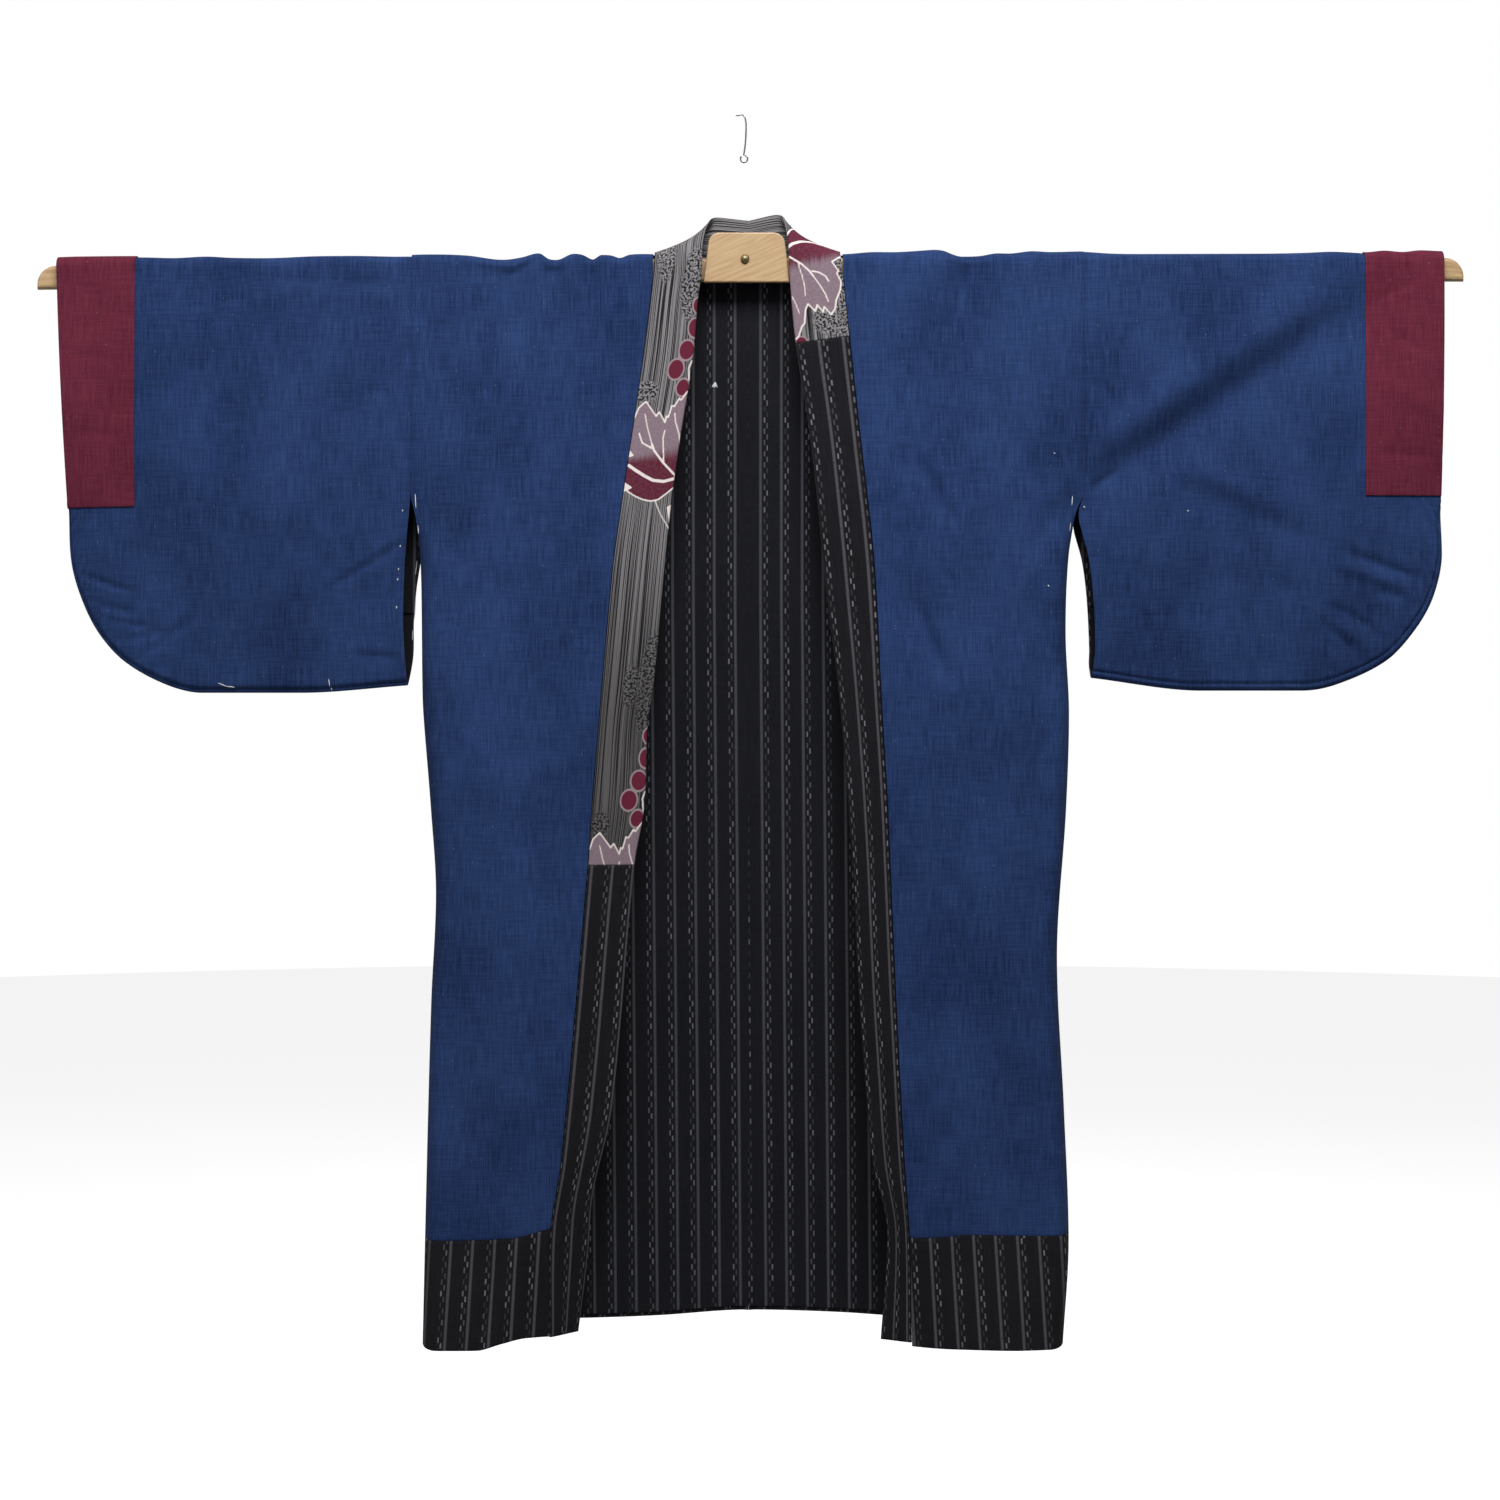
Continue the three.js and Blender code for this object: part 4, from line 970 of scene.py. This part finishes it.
# The collar is a long band folded along its inner edge, with a soft filling
collar = {"width": 47, "seamHalf": 1.2, "bodyHalf": 1.6, "foldHalf": 1.7, "fineWidth": 1.15,
          "plainWidth": 2.2, "firstLine": {"left": 3.5, "right": 5.5}, "lineSpread": 0.94,
          "seamRise": 0.25, "foldSteps": 9, "flatWidth": 0.05, "leafLength": 0.88, "turnedUnder": 0.02}


def collarSection(width, spacing):
    # places round the band's section as [share across, height], from the seam round the fold and back
    count = max(int(width / spacing), 6)
    tip = collar["foldHalf"] / width
    flat = np.linspace(0, 1 - tip, count)
    rise = mix(collar["seamHalf"], collar["foldHalf"], ease(0, collar["seamRise"], flat)) \
        + (collar["bodyHalf"] - collar["foldHalf"]) * np.sin(np.pi * flat)
    turn = np.linspace(np.pi / 2, -np.pi / 2, collar["foldSteps"])[1:-1]
    across = np.concatenate([[0], flat, 1 - tip + tip * np.cos(turn), flat[::-1], [0]])
    height = np.concatenate([[0], rise, collar["foldHalf"] * np.sin(turn), -rise[::-1], [0]])
    return across, height


def collarGrid(route, spacing):
    # route is a list of (side, way) from the left hem round the neck to the right hem
    across, height = collarSection(collar["width"], spacing)
    order, place = np.unique(across, return_inverse=True)
    middle = np.stack([collarPoint(side, np.full_like(order, way), order) for side, way in route])
    points = middle[:, place] + gridNormals(middle)[:, place] * height[None, :, None]
    ways = np.array([way * -sides[side] for side, way in route])
    around = np.where(height <= 0, across, 2 - across) * collar["width"]
    around[0] = 2 * collar["width"]
    return points, np.stack(np.broadcast_arrays(around[None, :], ways[:, None]), axis=-1)


def makeCollarPart(name, node, route, spacing, material, marked=False):
    points, cloth = collarGrid(route, spacing)
    marks = printMarks(cloth) if marked else None
    if not marked:
        side = route[0][0]
        cloth[..., 0] = (cloth[..., 0] - collar["firstLine"][side]) * collar["lineSpread"]
    part = clothSheet(name, points, cloth * metres, 0, [material], weld=True, capped=True, marks=marks)
    bindSheet(part, node)


# The leaf print as [across from the seam, way along] in millimetres; ways on the right are negative
leafPrint = {
    "repeat": 402,
    "leaf": [
        (-6, 262), (0, 255), (2.5, 246), (8.5, 240), (14.5, 247), (20.5, 254), (23, 250), (30, 260),
        (30.5, 254), (32.5, 255), (34, 244), (36.5, 245), (40, 237), (42, 239), (46.5, 231), (60, 222),
        (66, 270), (60, 305), (48, 320), (41.5, 326), (34, 332), (27, 333.5), (19, 332), (11.5, 329),
        (4.5, 325), (-6, 318)],
    "overLeaf": [
        (-6, -66), (34, -60), (43.5, -78), (49, -89), (60, -100), (66, -140), (56, -180), (45.5, -178),
        (43.5, -176), (40, -168), (37.5, -166), (35.5, -154), (33, -149), (27, -156), (25, -150),
        (20.5, -157), (19, -152), (13.5, -160), (9.5, -154), (8, -146), (7, -144), (3.5, -136),
        (2, -128), (5, -120), (3.5, -117), (8.5, -107), (2.5, -101), (-6, -96)],
    "veins": [  # half width, then the line
        (1.5, [(1, 300), (9, 305), (18, 310), (26.5, 314), (37, 315), (48, 312)]),
        (0.75, [(9.5, 252), (13.5, 264), (20.5, 280)]),
        (1.1, [(20.5, 280), (23.5, 286), (33.5, 297), (48, 310)]),
        (0.9, [(6.5, 270), (11, 279), (21, 284)]),
        (0.8, [(31, 267), (30.5, 275), (34.5, 297)]),
        (0.8, [(38, 251), (40, 259), (45.5, 271), (48, 281)]),
        (0.7, [(31.5, 334), (38, 346), (48, 360)]),
        (0.8, [(46.5, 202), (44.5, 209), (46.5, 220)])],
    "overVeins": [
        (1.4, [(50, -101), (43.5, -95), (35, -90), (24, -86), (14.5, -86), (7, -89)]),
        (1.0, [(48.5, -107), (44, -109), (36, -113), (29.5, -119), (26, -124)]),
        (0.8, [(26, -124), (21, -132), (17, -140), (15, -147)]),
        (0.9, [(27, -119), (21, -120), (15.5, -123), (13, -128)]),
        (0.7, [(39, -113), (36, -124), (34.5, -134), (34.5, -142)]),
        (0.7, [(46, -143), (43.5, -149), (41, -157)])],
    "blobs": [
        [(-2, 284), (5, 291), (-2, 293)], [(-2, 315), (8, 321), (-1, 325)],
        [(43, 339), (48, 336), (48, 358)]],
    "berries": [  # across, way, half sizes
        (49, 150, 5.5, 7), (46.5, 171, 5.8, 8.4), (40.5, 192, 6.8, 8.7), (32.5, 210, 6.9, 8.9),
        (41.5, 227, 5.6, 7.4)],
    "overBerries": [(42, -182, 4.6, 4.6)],
    "speckles": [
        (42, 132, 13, 34), (12, 98, 9, 30), (8, 231, 11, 11), (46, 506, 14, 50), (26, 506, 7, 20),
        (8, 636, 9, 13), (8, -165, 22, 15), (1, -128, 6, 34)],
    "speckleEdge": 2,
    "outline": 0.72,
    "thinner": 0.12,
    # where a leaf turns maroon: way, with its lean across the band
    "maroonTurn": {"start": 270, "lean": 0.35, "end": 304, "stop": 420},
    "overMaroonTurn": ((84, 0.45), (112, 0.4)),
}


def lineDistance(points, line):
    # how far each point is from a line of straight pieces
    nearest = np.full(points.shape[:-1], np.inf)
    for start, end in zip(line[:-1], line[1:]):
        run = np.subtract(end, start)
        offset = points - start
        share = np.clip(offset @ run / (run @ run), 0, 1)
        nearest = np.minimum(nearest, np.linalg.norm(offset - share[..., None] * run, axis=-1))
    return nearest


def depthInside(points, outline):
    # distance from a closed outline, below zero outside it
    closed = outline + outline[:1]
    inside = np.zeros(points.shape[:-1], bool)
    for (startX, startY), (endX, endY) in zip(closed[:-1], closed[1:]):
        if startY == endY:
            continue
        crossing = startX + (points[..., 1] - startY) * (endX - startX) / (endY - startY)
        between = (startY > points[..., 1]) != (endY > points[..., 1])
        inside ^= between & (points[..., 0] < crossing)
    return np.where(inside, 1, -1) * lineDistance(points, closed)


def depthInOval(points, oval):
    offset = (points - oval[:2]) / oval[2:]
    return (1 - np.linalg.norm(offset, axis=-1)) * min(oval[2:])


def printMarks(cloth):
    # depths inside the leaves, pale lines and berries, the maroon share of a leaf, and the mottled ground
    both = (cloth, cloth - (0, leafPrint["repeat"]))
    leaves = [depthInside(points, leafPrint["leaf"]) for points in both]
    leaves.append(depthInside(cloth, leafPrint["overLeaf"]))
    lines = [leafPrint["outline"] - np.abs(leaf) for leaf in leaves]
    for points, veins in zip(both + (cloth,), ("veins", "veins", "overVeins")):
        lines += [half - leafPrint["thinner"] - lineDistance(points, line) for half, line in leafPrint[veins]]
    lines += [depthInside(points, blob) for points in both for blob in leafPrint["blobs"]]
    berries = [depthInOval(points, oval) for points in both for oval in leafPrint["berries"]]
    berries += [depthInOval(cloth, oval) for oval in leafPrint["overBerries"]]
    mottled = [ease(-leafPrint["speckleEdge"], leafPrint["speckleEdge"], depthInOval(cloth, oval))
               for oval in leafPrint["speckles"]]
    turn, overTurn = leafPrint["maroonTurn"], leafPrint["overMaroonTurn"]
    across, way = cloth[..., 0], cloth[..., 1]
    start = turn["start"] + (collar["width"] - across) * turn["lean"]
    under = np.maximum(ease(start, turn["end"], way) * (way < turn["stop"]),
                       ease(start, turn["end"], way - leafPrint["repeat"]))
    start, end = [place + across * lean for place, lean in overTurn]
    return {"leaf": np.max(leaves, axis=0), "paleLine": np.max(lines, axis=0),
            "berry": np.max(berries, axis=0),
            "maroonShare": np.where(way < 0, 1 - ease(start, end, -way), under),
            "mottled": np.max(mottled, axis=0)}


def waysFrom(start, end, spacing):
    return np.linspace(start, end, max(int(abs(end - start) / spacing), 2))


def makeCollar():
    fine, plain = collar["fineWidth"], collar["plainWidth"]
    route = [("left", way) for way in waysFrom(collarJoin["left"], 0, fine)]
    route += [("right", way) for way in waysFrom(0, collarJoin["right"], fine)[1:]]
    makeCollarPart("collarLeaves", "collar_patterned", route, fine, leafCotton,
                   marked=True)
    for side in sides:
        route = [(side, way) for way in waysFrom(collarJoin[side] + wall["gap"], collarHem[side], plain)]
        route = route[::-1] if side == "left" else route
        makeCollarPart(f"collarStripes_{side}", f"collar_{side}", route, plain, striped)


# Loose thread ends and hand stitches from one x, z to the next, with half a thread's width
threads = {
    "front_left": [(-311.6, -226, -310.8, -239, 0.45), (-309.3, -255, -308.6, -263, 0.4)],
    "front_right": [
        (302.8, -228, 302.2, -236.5, 0.45), (301.2, -252, 300.4, -260.5, 0.45),
        (299.6, -276, 299.4, -284, 0.45), (278.7, -312, 279.6, -313, 0.5),
        (285.3, -188, 286.1, -188.4, 0.5)],
    "sleeve_left": [
        (-323.2, -241, -323.4, -242.2, 0.5), (-325.6, -274, -325.7, -275.2, 0.5),
        (-327.3, -295.6, -327.4, -296.8, 0.5), (-328.2, -305, -328.3, -306.4, 0.5),
        (-329.4, -331, -329.5, -332.6, 0.5), (-497, -402.6, -489, -405.8, 0.45),
        (-489, -405.8, -482, -406.4, 0.45), (-393.6, -399, -392.6, -405, 0.4),
        (-392.6, -405, -391, -409.4, 0.4)],
    "sleeve_right": [(313.6, -237.8, 314.2, -238.4, 0.6), (410.3, -241.6, 411.2, -241.9, 0.5)],
    "lining_left": [
        (-31.4, -118.4, -34.4, -122.6, 0.6), (-31.4, -118.4, -33, -123.2, 0.6),
        (-31.4, -118.4, -31.6, -122.8, 0.6), (-31.4, -118.4, -29.8, -122.9, 0.6)],
    "strip_left": [
        (-312.6, -287, -314, -300, 0.4), (-313.6, -322, -314.8, -342, 0.4),
        (-316, -352, -316.6, -362, 0.4)],
}
threadLift = {"front": 0.9, "strip_left": 3.0}  # in front of the sheet that each is on


def makeThreads(grids):
    made = bmesh.new()
    for name, grid in grids.items():
        flat = grid.reshape(-1, 3)
        for startX, startZ, endX, endZ, half in threads[name]:
            middleX, middleZ = (startX + endX) / 2, (startZ + endZ) / 2
            runX, runZ = endX - startX, endZ - startZ
            depth = flat[np.argmin(np.hypot(flat[:, 0] - middleX, flat[:, 2] - middleZ)), 1]
            stitch = bmesh.ops.create_uvsphere(made, u_segments=8, v_segments=6, radius=metres)["verts"]
            bmesh.ops.scale(made, verts=stitch, vec=(half, half, np.hypot(runX, runZ) / 2 + half))
            bmesh.ops.rotate(made, verts=stitch, cent=(0, 0, 0),
                             matrix=Matrix.Rotation(math.atan2(runX, runZ), 3, "Y"))
            depth -= threadLift.get(name, threadLift["front"])
            bmesh.ops.translate(made, verts=stitch, vec=toFrame((middleX, depth, middleZ)))
    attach(meshObject("threadEnds", made, [plainThread]), "root")


def threadGrids():
    grids = {f"front_{side}": frontGrids(side)[0] for side in sides}
    for side in sides:
        points, frontCount = sleeveGrid(side, shares(sleeveColumns))
        grids[f"sleeve_{side}"] = points[:frontCount]
        if side == "left":
            grids["strip_left"] = points[frontCount:]
    grids["lining_left"] = moved(handed("left", backGrid("left"), behind=True), -liningInset)
    return grids


def build():
    for side in sides:
        makeFront(side)
        makeBack(side)
        makeSleeve(side)
    makeCollar()
    print("coat made")
    makeThreads(threadGrids())
    print("threads made")


build()

nodeFinishes = {"hanger_plate": plateWood, "hanger_arm_left": armWood, "hanger_arm_right": armWood,
                "hanger_bolt": brass, "hanger_nut": brass, "wall_hook": steel, "hanging_line": nylon}
for name, finish in nodeFinishes.items():
    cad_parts[name].data.materials.clear()
    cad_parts[name].data.materials.append(finish)
print("hanger finished")

studio = {"floorHeight": -1.62, "floorRadius": 9.0, "floorGrey": 0.4, "floorGlow": 0.8,
          "ambient": 0.2, "backdrop": 1.0}
lamps = {  # place, size, watts, aim
    "softboxAbove": ((0.2, -1.45, 1.5), (1.8, 0.9), 92, (0.05, 0, -0.2)),
    "softboxLeft": ((-2.5, -1.5, 0.5), (1.0, 1.4), 16, (0, 0, -0.4)),
    "softboxBehind": ((0.4, 2.8, 1.3), (2.4, 1.4), 45, (0, 0, -0.4)),
}


def seenByCamera(tree):
    return addNode(tree, "ShaderNodeLightPath", output="Is Camera Ray")


def makeFloor():
    made = bmesh.new()
    bmesh.ops.create_circle(made, cap_ends=True, segments=96, radius=studio["floorRadius"])
    bmesh.ops.translate(made, verts=made.verts, vec=(0, 0, studio["floorHeight"]))
    material, tree, shader = startMaterial("pale_floor")
    grey = studio["floorGrey"]
    setInputs(shader, {"Base Color": (grey, grey, grey, 1), "Roughness": 0.9,
                       "Emission Color": (1, 1, 1, 1),
                       "Emission Strength": seenByCamera(tree) * studio["floorGlow"]})
    meshObject("floor", made, [material])


def makeLight(name, place, size, power, aim):
    lamp = placeObject(name, bpy.data.lights.new(name, "AREA"))
    lamp.data.shape = "RECTANGLE"
    lamp.data.size, lamp.data.size_y = size
    lamp.data.energy = power
    lamp.location = place
    lamp.rotation_euler = (Vector(aim) - Vector(place)).to_track_quat("-Z", "Y").to_euler()


def makeStudio():
    scene.world = bpy.data.worlds.new("studio")
    scene.world.use_nodes = True
    tree = scene.world.node_tree
    glow = seenByCamera(tree) * (studio["backdrop"] - studio["ambient"]) + studio["ambient"]
    setInputs(tree.nodes["Background"], {"Color": (1, 1, 1, 1), "Strength": glow})
    for name, settings in lamps.items():
        makeLight(name, *settings)


makeFloor()
makeStudio()
print("studio made")
scene.view_settings.view_transform = "Standard"
